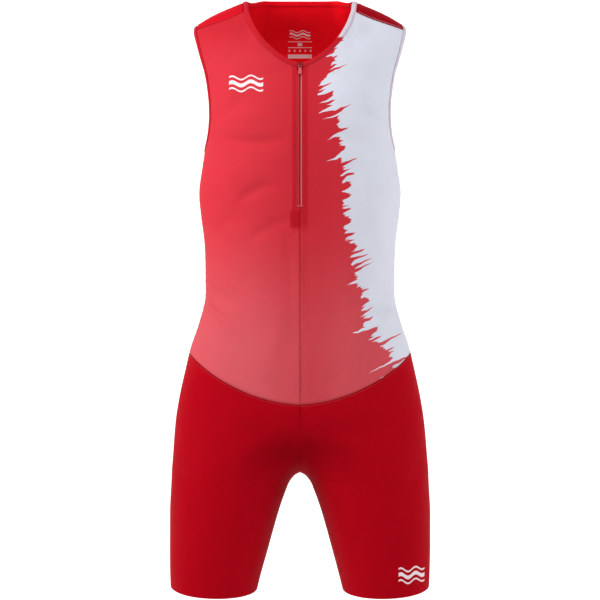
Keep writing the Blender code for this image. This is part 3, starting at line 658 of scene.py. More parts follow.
def zip_offsets(points):
    """The rolled edges beside the zip, and the tape showing through the fronts as a low step."""
    x, z = np.abs(points[:, 0]) / MM, points[:, 2]
    front = (points[:, 1] < 0) * smooth_step(TAPE_END - 1 * MM, TAPE_END + 1 * MM, z)
    zipped = smooth_step(ZIP_END - 6 * MM, ZIP_END, z)
    edge = slot_half(z) / MM
    rolled = 0.55 * np.exp(-(((x - edge - 1.7) / 1.1) ** 2)) * zipped
    tape = 0.3 * smooth_step(12.2, 10.6, x)
    bar = 0.25 * np.exp(-(((points[:, 2] / MM + 299) / 1.6) ** 2)) * (x < 5)
    return front * (rolled + tape + bar) * MM


# ---- Meshes ----


def sampled(grid, rows, columns):
    """A grid read at other rows and columns, given as shares of its height and width."""
    height, width = grid.shape[0] - 1, grid.shape[1] - 1
    r, c = np.clip(rows, 0, 1) * height, np.clip(columns, 0, 1) * width
    i, j = np.minimum(r.astype(int), height - 1), np.minimum(c.astype(int), width - 1)
    s, t = (r - i)[:, None, None], (c - j)[None, :, None]
    near = grid[i][:, j] * (1 - t) + grid[i][:, j + 1] * t
    far = grid[i + 1][:, j] * (1 - t) + grid[i + 1][:, j + 1] * t
    return near * (1 - s) + far * s


def graded(count, length, start=True, end=True):
    """Even shares from 0 to 1, with a few more close to sewn ends, where the cloth rolls over."""
    close = np.array([0.5, 1.1, 1.9, 3.0, 4.4]) * MM / length
    shares = np.linspace(0, 1, count + 1)
    clear = 1.25 * close[-1]
    inside = shares[(shares > (clear if start else 0)) & (shares < (1 - clear if end else 1))]
    return np.concatenate([[0], close if start else [], inside[(inside > 0) & (inside < 1)],
                           1 - close[::-1] if end else [], [1]])


def metric_uv(grid):
    """The lengths along the rows and up the columns of a grid, in metres."""
    uv = np.zeros((*grid.shape[:2], 2))
    uv[:, 1:, 0] = np.cumsum(np.linalg.norm(np.diff(grid, axis=1), axis=2), axis=1)
    uv[1:, :, 1] = np.cumsum(np.linalg.norm(np.diff(grid, axis=0), axis=2), axis=0)
    return uv


class Sheet:
    """A sheet of four-sided faces, from grids that may share points, with metric texture coordinates."""

    def __init__(self, grids):
        self.points, self.quads, self.corners, self.places = [], [], [], {}
        for grid in grids:
            self.add(grid)
        self.points = np.array(self.points)

    def point(self, place):
        key = tuple(np.round(place / (0.02 * MM)).astype(int))
        if key not in self.places:
            self.places[key] = len(self.points)
            self.points.append(np.array(place, float))
        return self.places[key]

    def add(self, grid):
        numbers = np.array([[self.point(place) for place in row] for row in grid])
        uv = metric_uv(grid)
        middle = (grid[:-1, :-1] + grid[1:, 1:]) / 2
        normal = np.cross(grid[1:, 1:] - grid[:-1, :-1], grid[1:, :-1] - grid[:-1, 1:])
        looks_out = (normal * outward(middle)).sum() > 0
        order = ((0, 0), (0, 1), (1, 1), (1, 0)) if looks_out else ((0, 0), (1, 0), (1, 1), (0, 1))
        rows, columns = numbers.shape[0] - 1, numbers.shape[1] - 1
        quads = np.stack([numbers[r : r + rows, c : c + columns] for r, c in order], axis=-1).reshape(-1, 4)
        corners = np.stack([uv[r : r + rows, c : c + columns] for r, c in order], axis=-2).reshape(-1, 4, 2)
        whole = np.array([len(set(q)) == 4 for q in quads])
        self.quads += quads[whole].tolist()
        self.corners += corners[whole].tolist()

    def rim(self):
        edges = {(q[k], q[(k + 1) % 4]) for q in self.quads for k in range(4)}
        return [edge for edge in edges if edge[::-1] not in edges]


def new_object(name, mesh, material):
    obj = bpy.data.objects.new(name, mesh)
    obj.data.materials.append(material)
    bpy.context.scene.collection.objects.link(obj)
    return obj


def cloth_object(name, sheet, offsets, wall, material, shade=None):
    """A closed shell of cloth: the outer sheet, the inner one a wall behind it, and a lip round its edges."""
    normal = outward(sheet.points)
    outer = sheet.points + offsets[:, None] * normal
    inner = outer - wall * normal
    count, rim = len(outer), sheet.rim()
    lip_number, lip_points, pulls = {}, [], {}
    for a, b in rim:
        way = np.cross(outer[b] - outer[a], normal[a] + normal[b])
        way /= max(np.linalg.norm(way), 1e-12)
        for end in (a, b):
            pulls[end] = pulls.get(end, 0) + way
    for number, pull in pulls.items():
        lip_number[number] = 2 * count + len(lip_points)
        pull = pull / max(np.linalg.norm(pull), 1e-12)
        lip_points.append((outer[number] + inner[number]) / 2 + LIP * wall * pull)
    faces = sheet.quads + [[count + k for k in q[::-1]] for q in sheet.quads]
    uv = sheet.corners + [c[::-1] for c in sheet.corners]
    for a, b in rim:
        faces += [[b, a, lip_number[a], lip_number[b]], [lip_number[b], lip_number[a], count + a, count + b]]
        uv += [[[0, 0]] * 4] * 2
    mesh = bpy.data.meshes.new(name)
    mesh.from_pydata(np.concatenate([outer, inner, np.array(lip_points)]).tolist(), [], faces)
    layer = mesh.uv_layers.new(name="Cloth")
    layer.data.foreach_set("uv", np.array(uv, np.float32).ravel())
    # The painted shade along the seams and in the hollows, kept as a point attribute.
    if shade is not None:
        darker = mesh.attributes.new("Seam", "FLOAT", "POINT")
        values = np.concatenate([shade, shade, np.ones(len(lip_points))])
        darker.data.foreach_set("value", values.astype(np.float32))
    mesh.shade_smooth()
    mesh.update()
    return new_object(name, mesh, material)


# ---- Materials ----

SMOOTH = {"interpolation_type": "SMOOTHSTEP"}
COLOUR = {"data_type": "RGBA"}
TIMES, LESS, OVER, SIZE_OF, SINE_OF, FOLDED, MOST = (
    {"operation": name}
    for name in ("MULTIPLY", "SUBTRACT", "DIVIDE", "ABSOLUTE", "SINE", "PINGPONG", "MAXIMUM")
)
TURN = 2 * math.pi


def linear(code):
    """An sRGB hex colour as linear values."""
    shares = [int(code[i : i + 2], 16) / 255 for i in (1, 3, 5)]
    return tuple(s / 12.92 if s <= 0.04045 else ((s + 0.055) / 1.055) ** 2.4 for s in shares) + (1.0,)


def fill(node, inputs):
    """Sets inputs, given by name or by number among those in use, to values, to hex colours or to links."""
    in_use = [socket for socket in node.inputs if socket.enabled]
    for key, value in inputs.items():
        socket = node.inputs[key] if isinstance(key, str) else in_use[key]
        if isinstance(value, bpy.types.NodeSocket):
            node.id_data.links.new(value, socket)
        else:
            socket.default_value = linear(value) if isinstance(value, str) else value


def add_node(tree, kind, *inputs, out=0, **settings):
    """Adds a node with its settings and inputs, and returns one output, or the node where out is None."""
    node = tree.nodes.new(kind if "Node" in kind else "ShaderNode" + kind)
    for name, value in settings.items():
        setattr(node, name, value)
    fill(node, inputs[0] if inputs and isinstance(inputs[0], dict) else dict(enumerate(inputs)))
    if out is None:
        return node
    return node.outputs[out] if isinstance(out, str) else [s for s in node.outputs if s.enabled][out]


def new_material(name):
    """A material, what adds a node to it, and its shader."""
    material = bpy.data.materials.new(name)
    material.use_nodes = True
    tree = material.node_tree
    return material, partial(add_node, tree), tree.nodes["Principled BSDF"]


def place_of(add):
    """Where a point is on the suit, as a vector and as x, y and z, in metres."""
    vector = add("TexCoord", out="Object")
    return vector, *add("SeparateXYZ", vector, out=None).outputs


def where(add, *limits, top=1.0):
    """The share top where each value is past the second of its limits, in mm, fading to 0 at the first."""
    for value, start, end in limits:
        top = add("MapRange", value, start * MM, end * MM, 0.0, top, **SMOOTH)
    return top


def faces_front(add, top=1.0):
    """The share top on faces that look to the front, 0 on those that look back, as inside the fronts."""
    normal = add("SeparateXYZ", add("NewGeometry", out="Normal"), out=None).outputs[1]
    return add("MapRange", normal, 0.1, -0.1, 0.0, top, **SMOOTH)


def layered(add, colour, *layers):
    """A colour with others laid over it, each by its share."""
    for share, over in layers:
        colour = add("Mix", share, colour, over, **COLOUR)
    return colour


def cloth_material(name, colour_at, roughness, sheen, tint, knit=(1.3, 1.6), relief=0.12):
    """Cloth coloured by place, with a faint mottle, painted shade along its seams and in its hollows, a soft
    sheen of fine filaments, and relief.

    The relief, in mm, is a warp knit's loops on the cloth's own UV map: wales up the panel, with a V of yarn
    at each course. The loops are drawn coarser than the real ones, which are too fine to show.
    """
    material, add, shader = new_material(name)
    vector, *xyz = place_of(add)
    mottle = add("Math", add("TexNoise", vector, 1 / (28 * MM), 3.0), 0.10, **TIMES)
    fleck = add("Math", add("TexNoise", vector, 1 / (1.8 * MM), 1.0), 0.10, **TIMES)
    # Painted shade along the seams' grooves and in the hollows, from the point attribute.
    seam = add("Math", add("Attribute", attribute_name="Seam", out="Fac"), PAINTED_SHADE_DEPTH, **TIMES)
    shade = add("Math", add("Math", add("Math", mottle, fleck), 0.90), seam, **LESS)
    grey = add("CombineColor", shade, shade, shade)
    u, v, _ = add("SeparateXYZ", add("UVMap", uv_map="Cloth"), out=None).outputs
    across, up = (add("Math", length, size * MM, **OVER) for length, size in zip((u, v), knit))
    yarn = add("Math", up, add("Math", across, 0.5, **FOLDED))
    loop, rib = (add("Math", add("Math", turns, TURN, **TIMES), **SINE_OF) for turns in (yarn, across))
    loops = add("Math", add("Math", add("Math", loop, 0.5, **TIMES), rib), relief * MM, **TIMES)
    ripple = add("Math", add("TexNoise", vector, 1 / (11 * MM), 2.0), 0.5 * MM, **TIMES)
    fill(shader, {
        "Base Color": add("Mix", 1.0, colour_at(add, *xyz), grey, blend_type="MULTIPLY", **COLOUR),
        "Roughness": roughness,
        "Specular IOR Level": 0.02,
        "Specular Tint": tint,
        "Sheen Weight": sheen,
        "Sheen Roughness": 0.4,
        "Sheen Tint": tint,
        "Normal": add("Bump", {"Strength": 0.6, "Distance": 1.0, "Height": add("Math", loops, ripple)}),
    })
    return material


def wave_mark(add, x, z, centre, size):
    """A plain printed mark, in mm: a few short wavy lines, one above the other."""
    (wide, tall), pitch = size, size[1] / 2
    across = add("Math", x, centre[0] * MM, **LESS)
    wave = add("Math", add("Math", across, TURN / (0.55 * wide * MM), **TIMES), **SINE_OF)
    rise = add("Math", wave, 0.14 * tall * MM, **TIMES)
    height = add("Math", add("Math", z, centre[1] * MM, **LESS), rise, **LESS)
    line = add("Math", add("Math", height, tall * MM), pitch / 2 * MM, **FOLDED)
    return where(
        add,
        (line, 0.30 * pitch, 0.24 * pitch),
        (add("Math", across, **SIZE_OF), wide / 2, wide / 2 - 1),
        (add("Math", height, **SIZE_OF), tall / 2, tall / 2 - 0.6),
        top=faces_front(add),
    )


def front_red(add, x, z, colours, depth, highlight_share):
    """The fronts' red: full on the chest, darker towards the shoulders, darker on the zip tape that shows
    through; painted shade darkens it towards the zip and, by depth, all over; a painted sheen highlight pales
    it over the belly, and a painted highlight lies on the cloth rolled over at the zip.
    """
    across, zip_end = add("Math", x, **SIZE_OF), ZIP_END / MM
    return layered(
        add,
        colours.chest_red,
        # Painted sheen highlight: the red paler over the belly.
        (where(add, (z, -290, -530)), colours.belly_highlight_red),
        (where(add, (z, -88, -22), top=0.5), colours.zip_and_shade_red),
        # Painted shade: the red darker towards the zip.
        (where(add, (across, 75, 12), top=0.28), colours.zip_and_shade_red),
        # Painted shade: depth darkens the whole front.
        (depth, colours.zip_and_shade_red),
        (where(add, (across, 12.5, 10.5), (z, -345, -325), top=0.7), colours.zip_and_shade_red),
        # Painted highlight on the cloth rolled over at the zip.
        (where(add, (across, 3.0, 2.2), (z, zip_end - 1, zip_end), top=highlight_share), colours.zip_rim_highlight),
    )


def right_front_material(colours):
    """Polyester warp knit, printed by dye sublimation: a bright red with a faint satin, and painted shade and
    highlights in its colour.
    """

    def colour_at(add, x, _, z):
        guard = where(add, (x, -15.5, -14), (x, -1, -1.5), (z, -334.5, -333), (z, -308, -310), top=0.8)
        mark = wave_mark(add, x, z, (-80, -119), (52, 21))
        # No painted shade all over this front, and a faint painted highlight on its zip edge.
        red = front_red(add, x, z, colours, 0.0, 0.15)
        return layered(add, red, (guard, colours.zip_and_shade_red), (mark, colours.mark))

    return cloth_material("printed_knit_right_front", colour_at, 0.6, 0.14, "#ff5c66")


def brush_edge():
    """Points of a brushed edge in mm: its path, with nicks, teeth, lobes, slashes and slits, unevenly."""
    hand = np.random.default_rng(14)
    points, height = [], BRUSH_LOW
    while height < BRUSH_HIGH - 16:
        path = np.interp(height, BRUSH_PATH["height"], BRUSH_PATH["across"])
        kind = hand.choice(list(BRUSH_MARKS), p=[0.28, 0.22, 0.2, 0.17, 0.13])
        width, reach = np.array(BRUSH_MARKS[kind]) * hand.uniform(0.65, 1.3, 2)
        reach *= 1.7 if height < -485 or -170 < height < -95 else 1.0
        points.append((height, path + hand.uniform(-3, 2)))
        if kind == "lobe":
            points += [(height + 0.2 * width, path + reach), (height + 0.75 * width, path + 0.8 * reach)]
        else:
            points.append((height + width * hand.uniform(0.45, 0.8), path + reach))
        height += width
        points.append((height, path + hand.uniform(-4, 1)))
        height += hand.exponential(3.0)
    return points


def brush_curve(add, height, low, high):
    """How far across the brushed edge lies at a height between low and high, in metres."""
    node = add("FloatCurve", {"Value": add("MapRange", height, low * MM, high * MM)}, out=None)
    curve = node.mapping.curves[0]
    edge = [((h - low) / (high - low), across / BRUSH_WIDE) for h, across in brush_edge() if low <= h <= high]
    curve.points[0].location, curve.points[1].location = (0, edge[0][1]), (1, edge[-1][1])
    for place in edge[1:-1]:
        curve.points.new(*place)
    for point in curve.points:
        point.handle_type = "VECTOR"
    node.mapping.update()
    return add("Math", node.outputs[0], BRUSH_WIDE * MM, **TIMES)


def brushed_share(add, x, z):
    """1 where the red was brushed over the white, 0 where the white is bare."""
    sway = add("Math", add("TexNoise", add("CombineXYZ", {0: x, 2: z}), 1 / (22 * MM), 1.0), 0.5, **LESS)
    slant = add("Math", add("Math", x, 75 * MM, **LESS), BRUSH_SLANT, **TIMES)
    leant = add("Math", add("Math", z, slant, **LESS), add("Math", sway, 11 * MM, **TIMES))
    lower = brush_curve(add, leant, BRUSH_LOW, BRUSH_MIDDLE)
    upper = brush_curve(add, leant, BRUSH_MIDDLE, BRUSH_HIGH)
    is_upper = add("Math", leant, BRUSH_MIDDLE * MM, operation="GREATER_THAN")
    is_lower = add("Math", 1.0, is_upper, **LESS)
    edge = add("Math", add("Math", upper, is_upper, **TIMES), add("Math", lower, is_lower, **TIMES))
    for length, width, reach in ((38, 2.0, 12), (30, 5.0, 12)):
        cell = {0: add("Math", x, length * MM, **OVER), 2: add("Math", leant, width * MM, **OVER)}
        stray = add("Math", add("TexNoise", add("CombineXYZ", cell), 1.0, 1.0), 0.5, **LESS)
        edge = add("Math", edge, add("Math", stray, reach * MM, **TIMES))
    return where(add, (add("Math", edge, x, **LESS), -0.4, 0.4))


def left_front_material(colours):
    """The same printed knit, white with the red brushed over it beside the zip."""

    def colour_at(add, x, _, z):
        # Painted shade over the whole of this front, which faces away from the key light, and a stronger
        # painted highlight on its zip edge.
        red = front_red(add, x, z, colours, 0.25, 0.55)
        return layered(add, colours.white, (brushed_share(add, x, z), red))

    return cloth_material("printed_knit_left_front", colour_at, 0.55, 0.08, "#ffd9dc")


def neck_print(add, x, z, top):
    """A plain mark, rules, ticks and a bar printed inside the back neck, where a size would stand."""
    share = wave_mark(add, x, z, (0, -16.8), (34, 11))
    ticks = add("Math", add("Math", x, 85 * MM), 4.25 * MM, **FOLDED)
    across = add("Math", x, **SIZE_OF)
    for height, half_width, half_height, is_row in NECK_PRINT:
        near = add("Math", add("Math", z, height * MM, **LESS), **SIZE_OF)
        limits = [(across, half_width + 0.3, half_width - 0.3), (near, half_height + 0.2, half_height - 0.2)]
        share = add("Math", share, where(add, *limits, *[(ticks, 1.3, 0.8)] * is_row), **MOST)
    return add("Math", add("Math", share, 0.7, **TIMES), top, **TIMES)


def deep_knit_material(name, colours, mark=None, print_inside=False):
    """Dense polyamide and elastane knit in a deep red dye: smoother and shinier at a glancing angle. On the
    back, painted light brightens its inside and its left shoulder strip, and painted shade darkens its right
    one.
    """

    def colour_at(add, x, y, z):
        colour = colours.deep_red
        if print_inside:
            # Painted light: the left shoulder strip brighter and the right one darker, as the light comes from
            # the left.
            for side, code, share in ((-1, "#e01a2a", 0.5), (1, "#5c0616", 0.4)):
                shoulder_light_and_shade = where(add, (x, side * 40, side * 110), (y, 18, -4), top=share)
                colour = layered(add, colour, (shoulder_light_and_shade, code))
            # Painted light: the back's inside faces a brighter red, where little light reaches.
            inward = where(add, (y, 8, 20), top=faces_front(add))
            printed = neck_print(add, x, z, inward)
            colour = layered(add, colour, (inward, colours.inside_painted_light), (printed, colours.mark))
        if mark:
            share = where(add, (y, 0, -5), top=wave_mark(add, x, z, *mark))
            colour = layered(add, colour, (share, colours.mark))
        return colour

    return cloth_material(name, colour_at, 0.6, 0.26, "#ff1430")


def binding_material(colours):
    """Folded elastic binding of the same knit, with fine ribs along it, pale by the white front, and painted a
    brighter red on its inner face as painted light.
    """

    def colour_at(add, x, y, z):
        pale = add("Math", where(add, (x, 20, 24), (z, -50, -46)), where(add, (x, 116, 120)), **MOST)
        pale = where(add, (y, 2, -2), top=pale)
        # Painted light: the inner face at the back neck brightened to the back's inside colour.
        inside = where(add, (y, 20, 35), top=faces_front(add))
        return layered(add, colours.binding, (pale, colours.grey_binding), (inside, colours.inside_painted_light))

    return cloth_material("elastic_binding", colour_at, 0.6, 0.12, "#ffb0b4", (1.1, 2.4), 0.16)


def tape_material():
    """Woven zip tape: a fine weave of polyester yarn in a dark red, partly dye and partly painted shade in the
    zip slot.
    """
    return cloth_material("woven_zip_tape", lambda *_: "#7a0c16", 0.7, 0.1, "#ff9a9e", (1.0, 1.0), 0.15)


def mottled_material(name, first, second, patch, finish, share=1.0, detail=2.0, grain=None):
    """A colour that drifts to a second over patches, with a grain of a strength and a size. Sizes in mm."""
    material, add, shader = new_material(name)
    vector = place_of(add)[0]
    drift = add("Math", add("TexNoise", vector, 1 / (patch * MM), detail), share, **TIMES)
    fill(shader, {"Base Color": add("Mix", drift, first, second, **COLOUR), **finish})
    if grain:
        height = add("TexNoise", vector, 1 / (grain[1] * MM), 2.0)
        fill(shader, {"Normal": add("Bump", {"Strength": grain[0], "Distance": 0.1 * MM, "Height": height})})
    return material


def thread_material(name, code):
    """Twisted polyester thread: a slight gloss on soft round yarn."""
    return mottled_material(name, code, "#1a0205", 0.8, {"Roughness": 0.42, "Sheen Weight": 0.2}, 0.35, 1.0)


def coil_material():
    """Nylon coil: moulded monofilament, semi-gloss, in a dark red that is partly dye to match and partly
    painted shade in the narrow zip slot.
    """
    return mottled_material("nylon_coil", "#74101a", "#4c070e", 3, {"Roughness": 0.32, "IOR": 1.53})


def slider_material(colours):
    """Die-cast zinc under baked enamel: dark and glossy, with a little orange peel."""
    finish = {"Roughness": 0.28, "Coat Weight": 0.6, "Coat Roughness": 0.12}
    return mottled_material("enamelled_zinc", colours.slider, "#2c070b", 2, finish, grain=(0.3, 0.9))


def pull_material(colours):
    """Moulded soft PVC: matt red with a fine grain."""
    finish = {"Roughness": 0.45, "IOR": 1.53}
    return mottled_material("soft_pvc_pull", colours.pull, "#c9404e", 4, finish, grain=(0.35, 0.5))


# ---- Bands, stitches and teeth ----


def sideways(line, away):
    """Unit directions on the form, square to a line, towards the point away."""
    along = np.gradient(line, axis=0)
    if np.allclose(line[0], line[-1]):
        along[0] = along[-1] = line[1] - line[-2]
    side = np.cross(outward(line), along)
    side /= np.linalg.norm(side, axis=1, keepdims=True)
    return side * np.sign((side * (np.array(away) - line)).sum(axis=1, keepdims=True))


def front_points(x, z):
    """Points of the form straight ahead of the middle plane, at widths x and heights z."""
    x, z = np.broadcast_arrays(x, z)
    starts = np.stack([x, 0 * x, z], axis=-1)
    return cast(starts, np.broadcast_to(np.array([0.0, -1.0, 0.0]), starts.shape))


def raised(line, lift):
    """A line on the form moved out onto its folds, and a lift above them."""
    return line + (fold_offsets(line) + lift)[:, None] * outward(line)


def on_cloth(pattern, line, distance, away):
    """A line moved sideways on the cloth and raised to lie on its surface."""
    moved = settled(line + distance * sideways(line, away))
    return raised(moved, seam_offsets(*pattern.from_seams(moved), GROOVE) + zip_offsets(moved) + ROW_LIFT)


def band_object(name, line, free, closed, material):
    """A folded binding: a soft flat tube from the seam to the free edge, over the lip and back inside."""
    width = np.linalg.norm(free - line, axis=1).mean()
    profile = []
    for share in np.linspace(0, 1, 9):
        seat = -0.3 if share < 0.5 else 0.35
        profile.append((0.88 * share, seat + (0.9 - seat) * math.sin(math.pi * share) ** 0.6))
    for angle in np.radians(np.linspace(80, -80, 7)):
        profile.append((0.88 + 0.12 * math.cos(angle), -0.72 + 1.05 * math.sin(angle)))
    for share in np.linspace(0.88, 0.03, 6):
        profile.append((share, -1.8 - 0.1 * math.sin(math.pi * share)))
    normal_line, normal_free = outward(line), outward(free)
    lift = fold_offsets(line)
    rings = []
    for share, height in profile:
        normal = (1 - share) * normal_line + share * normal_free
        normal /= np.linalg.norm(normal, axis=1, keepdims=True)
        rings.append(line + share * (free - line) + (height * MM + lift)[:, None] * normal)
    shape = bmesh.new()
    uv = shape.loops.layers.uv.new("Cloth")
    count, around = len(line) - closed, len(profile)
    verts = [[shape.verts.new(place) for place in ring[:count]] for ring in rings]
    lengths, round_at = lengths_along(line), np.arange(around + 1) * width * 0.13
    for k in range(around):
        for i in range(len(line) - 1):
            corners = [(k, i), (k, i + 1), (k + 1, i + 1), (k + 1, i)]
            face = shape.faces.new([verts[ring % around][place % count] for ring, place in corners])
            for loop, (ring, place) in zip(face.loops, corners):
                loop[uv].uv = round_at[ring], lengths[place]
    if not closed:
        shape.faces.new([row[0] for row in verts])
        shape.faces.new([row[-1] for row in verts][::-1])
    bmesh.ops.recalc_face_normals(shape, faces=shape.faces[:])
    mesh = bpy.data.meshes.new(name)
    shape.to_mesh(mesh)
    shape.free()
    mesh.shade_smooth()
    return new_object(name, mesh, material)


def bead_tree():
    """Geometry nodes that lay rounded beads end to end down lines: a stitch, or a tooth across the line."""
    tree = bpy.data.node_groups.new("Beads along lines", "GeometryNodeTree")
    add = partial(add_node, tree)
    sizes = {"Pitch": 0.003, "Length": 0.0024, "Thickness": 0.0004, "Turn": 0.0}
    tree.interface.new_socket("Geometry", in_out="INPUT", socket_type="NodeSocketGeometry")
    for name, value in sizes.items():
        tree.interface.new_socket(name, in_out="INPUT", socket_type="NodeSocketFloat").default_value = value
    tree.interface.new_socket("Material", in_out="INPUT", socket_type="NodeSocketMaterial")
    tree.interface.new_socket("Geometry", in_out="OUTPUT", socket_type="NodeSocketGeometry")
    given = add("NodeGroupInput", out=None).outputs
    curve = add("GeometryNodeMeshToCurve", {"Mesh": given["Geometry"]})
    spaced = add("GeometryNodeResampleCurve", {"Curve": curve, "Length": given["Pitch"]}, mode="LENGTH")
    ball = add("GeometryNodeMeshUVSphere", {"Segments": 6, "Rings": 5, "Radius": 0.5})
    size = add("CombineXYZ", given["Length"], given["Thickness"], given["Thickness"])
    turn = add("CombineXYZ", {"Z": given["Turn"]})
    bead = add("GeometryNodeTransform", {"Geometry": ball, "Rotation": turn, "Scale": size})
    along = add("FunctionNodeAlignRotationToVector", {"Vector": add("GeometryNodeInputTangent")}, axis="X")
    placed = add("GeometryNodeInstanceOnPoints", {"Points": spaced, "Instance": bead, "Rotation": along})
    smooth = add("GeometryNodeSetShadeSmooth", {"Geometry": add("GeometryNodeRealizeInstances", placed)})
    dressed = add("GeometryNodeSetMaterial", {"Geometry": smooth, "Material": given["Material"]})
    add("NodeGroupOutput", dressed, out=None)
    return tree


def beads_on(name, lines, tree, material, pitch, length, thickness, turn=0.0):
    """Beads down every line, as one plain mesh that rides with the suit."""
    mesh = bpy.data.meshes.new(name + "_path")
    points, edges = [], []
    for line in lines:
        edges += [(len(points) + k, len(points) + k + 1) for k in range(len(line) - 1)]
        points += [tuple(p) for p in line]
    mesh.from_pydata(points, edges, [])
    path = bpy.data.objects.new(name + "_path", mesh)
    bpy.context.scene.collection.objects.link(path)
    modifier = path.modifiers.new("Beads", "NODES")
    modifier.node_group = tree
    values = {"Pitch": pitch, "Length": length, "Thickness": thickness, "Turn": turn, "Material": material}
    for item in tree.interface.items_tree:
        if item.in_out == "INPUT" and item.name in values:
            modifier[item.identifier] = values[item.name]
    bpy.context.view_layer.update()
    made = bpy.data.meshes.new_from_object(path.evaluated_get(bpy.context.evaluated_depsgraph_get()))
    bpy.data.objects.remove(path)
    made.name = name
    made.materials.clear()
    return new_object(name, made, material)


def finished(obj, slot, *nodes, flat=None, area=None):
    """Lets a piece ride with the suit and hides the solids it stands for; its slot, flat size and area are not
    used.
    """
    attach(obj, BODY)
    if nodes:
        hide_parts(*nodes)


# ---- What a user would change ----


class SuitColours(bpy.types.PropertyGroup):
    """The dyes and inks, and the colours of painted shade and highlights, as sRGB hex."""

    chest_red: StringProperty(name="Chest red", description="Ink on the chest", default="#cb333e")
    # A painted sheen highlight: the paler red over the belly.
    belly_highlight_red: StringProperty(name="Belly red", description="Ink over the belly", default="#cc555d")
    # Also the colour of the painted shade towards the zip and over the wearer's left front.
    zip_and_shade_red: StringProperty(name="Zip red", description="Zip tape and the cloth on it", default="#b01522")
    # A painted highlight: light caught on the cloth rolled over at the zip.
    zip_rim_highlight: StringProperty(name="Cut edge", description="Cloth turned over at the zip", default="#e77a80")
    deep_red: StringProperty(name="Deep red", description="Back and legs", default="#a80616")
    # Painted light: the brighter red of the back's inside and the binding's inner face.
    inside_painted_light: StringProperty(name="Inside red", description="Inside of the back", default="#f0101e")
    white: StringProperty(name="White", description="Left front's ground", default="#d1d3df")
    binding: StringProperty(name="Binding", description="Elastic binding", default="#be1b28")
    grey_binding: StringProperty(name="Grey binding", description="Binding by the white", default="#d3c8d6")
    thread: StringProperty(name="Thread", description="Sewing thread", default="#b4202c")
    mark: StringProperty(name="Mark", description="Plain printed marks", default="#e9dfe2")
    slider: StringProperty(name="Slider", description="Slider enamel", default="#5a141b")
    pull: StringProperty(name="Pull", description="Pull tab", default="#c93a46")


class SuitSewing(bpy.types.PropertyGroup):
    """The cloth, and the sizes of what sews it."""

    wall: FloatProperty(name="Cloth", description="Thickness of the cloth", default=1.1 * MM, unit="LENGTH")
    stitch: FloatProperty(name="Stitch", description="Length of a stitch", default=3.0 * MM, unit="LENGTH")
    thread: FloatProperty(name="Thread", description="The thread's thickness", default=0.5 * MM, unit="LENGTH")
    row_gap: FloatProperty(
        name="Row gap", description="A seam to its stitch row", default=2.4 * MM, unit="LENGTH"
    )
    tooth_pitch: FloatProperty(
        name="Tooth pitch", description="Zip tooth to tooth", default=1.5 * MM, unit="LENGTH"
    )


class SuitStudio(bpy.types.PropertyGroup):
    """Camera and light."""

    distance: FloatProperty(name="Distance", description="Camera to the suit", default=2.6, unit="LENGTH")
    height: FloatProperty(name="Height", description="Camera height", default=-0.44, unit="LENGTH")
    lens: FloatProperty(name="Lens", description="Focal length, in mm", default=101.23)
    key: FloatProperty(name="Key light", description="Left soft box, in watts", default=45.0)
    fill: FloatProperty(name="Fill light", description="Right soft box, in watts", default=30.0)
    top: FloatProperty(name="Top light", description="Overhead soft box, in watts", default=23.0)
    paper_glow: FloatProperty(name="Paper glow", description="Light from behind the paper", default=0.7)
    room: FloatProperty(name="Room", description="Light from the white room", default=0.2)


# ---- The pieces ----


@cache
def pattern():
    return Pattern()


def panel(name, grids, material):
    """A cut panel of cloth: graded grids on the form, then its folds and sewn edges, then its wall."""
    sheet = Sheet(grids)
    distance, along = pattern().from_seams(sheet.points)
    fade = seam_fade(sheet.points)
    offsets = fold_offsets(sheet.points) + seam_offsets(distance, along, GROOVE * fade)
    if name.startswith("front"):
        offsets = offsets + zip_offsets(sheet.points)
    # Painted shade: strongest on each seam's groove, weaker where seam_fade says, and in the hollows.
    shade = np.clip(0.7 * fade * np.exp(-((distance / (1.1 * MM)) ** 2)) + painted_hollow_shade(sheet.points), 0, 1)
    return cloth_object(name, sheet, offsets, bpy.context.scene.suit_sewing.wall, material, shade)


class SUIT_OT_fronts(bpy.types.Operator):
    """Adds the two printed front panels, open at the zip"""

    bl_idname = "suit.fronts"
    bl_label = "Fronts"

    def execute(self, context):
        colours = context.scene.suit_colours
        grid = sampled(pattern().front, graded(PANEL_ROWS, 0.53), graded(FRONT_COLUMNS, 0.2))
        right = panel("front_right_panel", [mirrored(grid)], right_front_material(colours))
        left = panel("front_left_panel", [grid], left_front_material(colours))
        finished(right, "red_knit", "front_right", flat=(0.235, 0.585), area=0.112)
        finished(left, "white_knit", "front_left", flat=(0.235, 0.585), area=0.112)
        return {"FINISHED"}


class SUIT_OT_back(bpy.types.Operator):
    """Adds the back panel, which wraps over the shoulders to the forward shoulder seams"""

    bl_idname = "suit.back"
    bl_label = "Back"

    def execute(self, context):
        p = pattern()
        across = graded(BACK_NECK_COLUMNS + FRONT_COLUMNS, 0.2, start=False)
        main = sampled(p.back, graded(PANEL_ROWS, 0.5), across)
        ridge_at = BACK_NECK_COLUMNS / (BACK_NECK_COLUMNS + FRONT_COLUMNS)
        ridge = (across[across >= ridge_at] - ridge_at) / (1 - ridge_at)
        over = sampled(p.over, graded(OVER_SHOULDER_ROWS, 0.035, start=False), ridge)
        over[0] = main[-1, across >= ridge_at]
        material = deep_knit_material("stretch_knit_back", context.scene.suit_colours, print_inside=True)
        back = panel("back_panel", [main, over, mirrored(main), mirrored(over)], material)
        finished(back, "deep_red_knit", "back", flat=(0.47, 0.66), area=0.222)
        return {"FINISHED"}


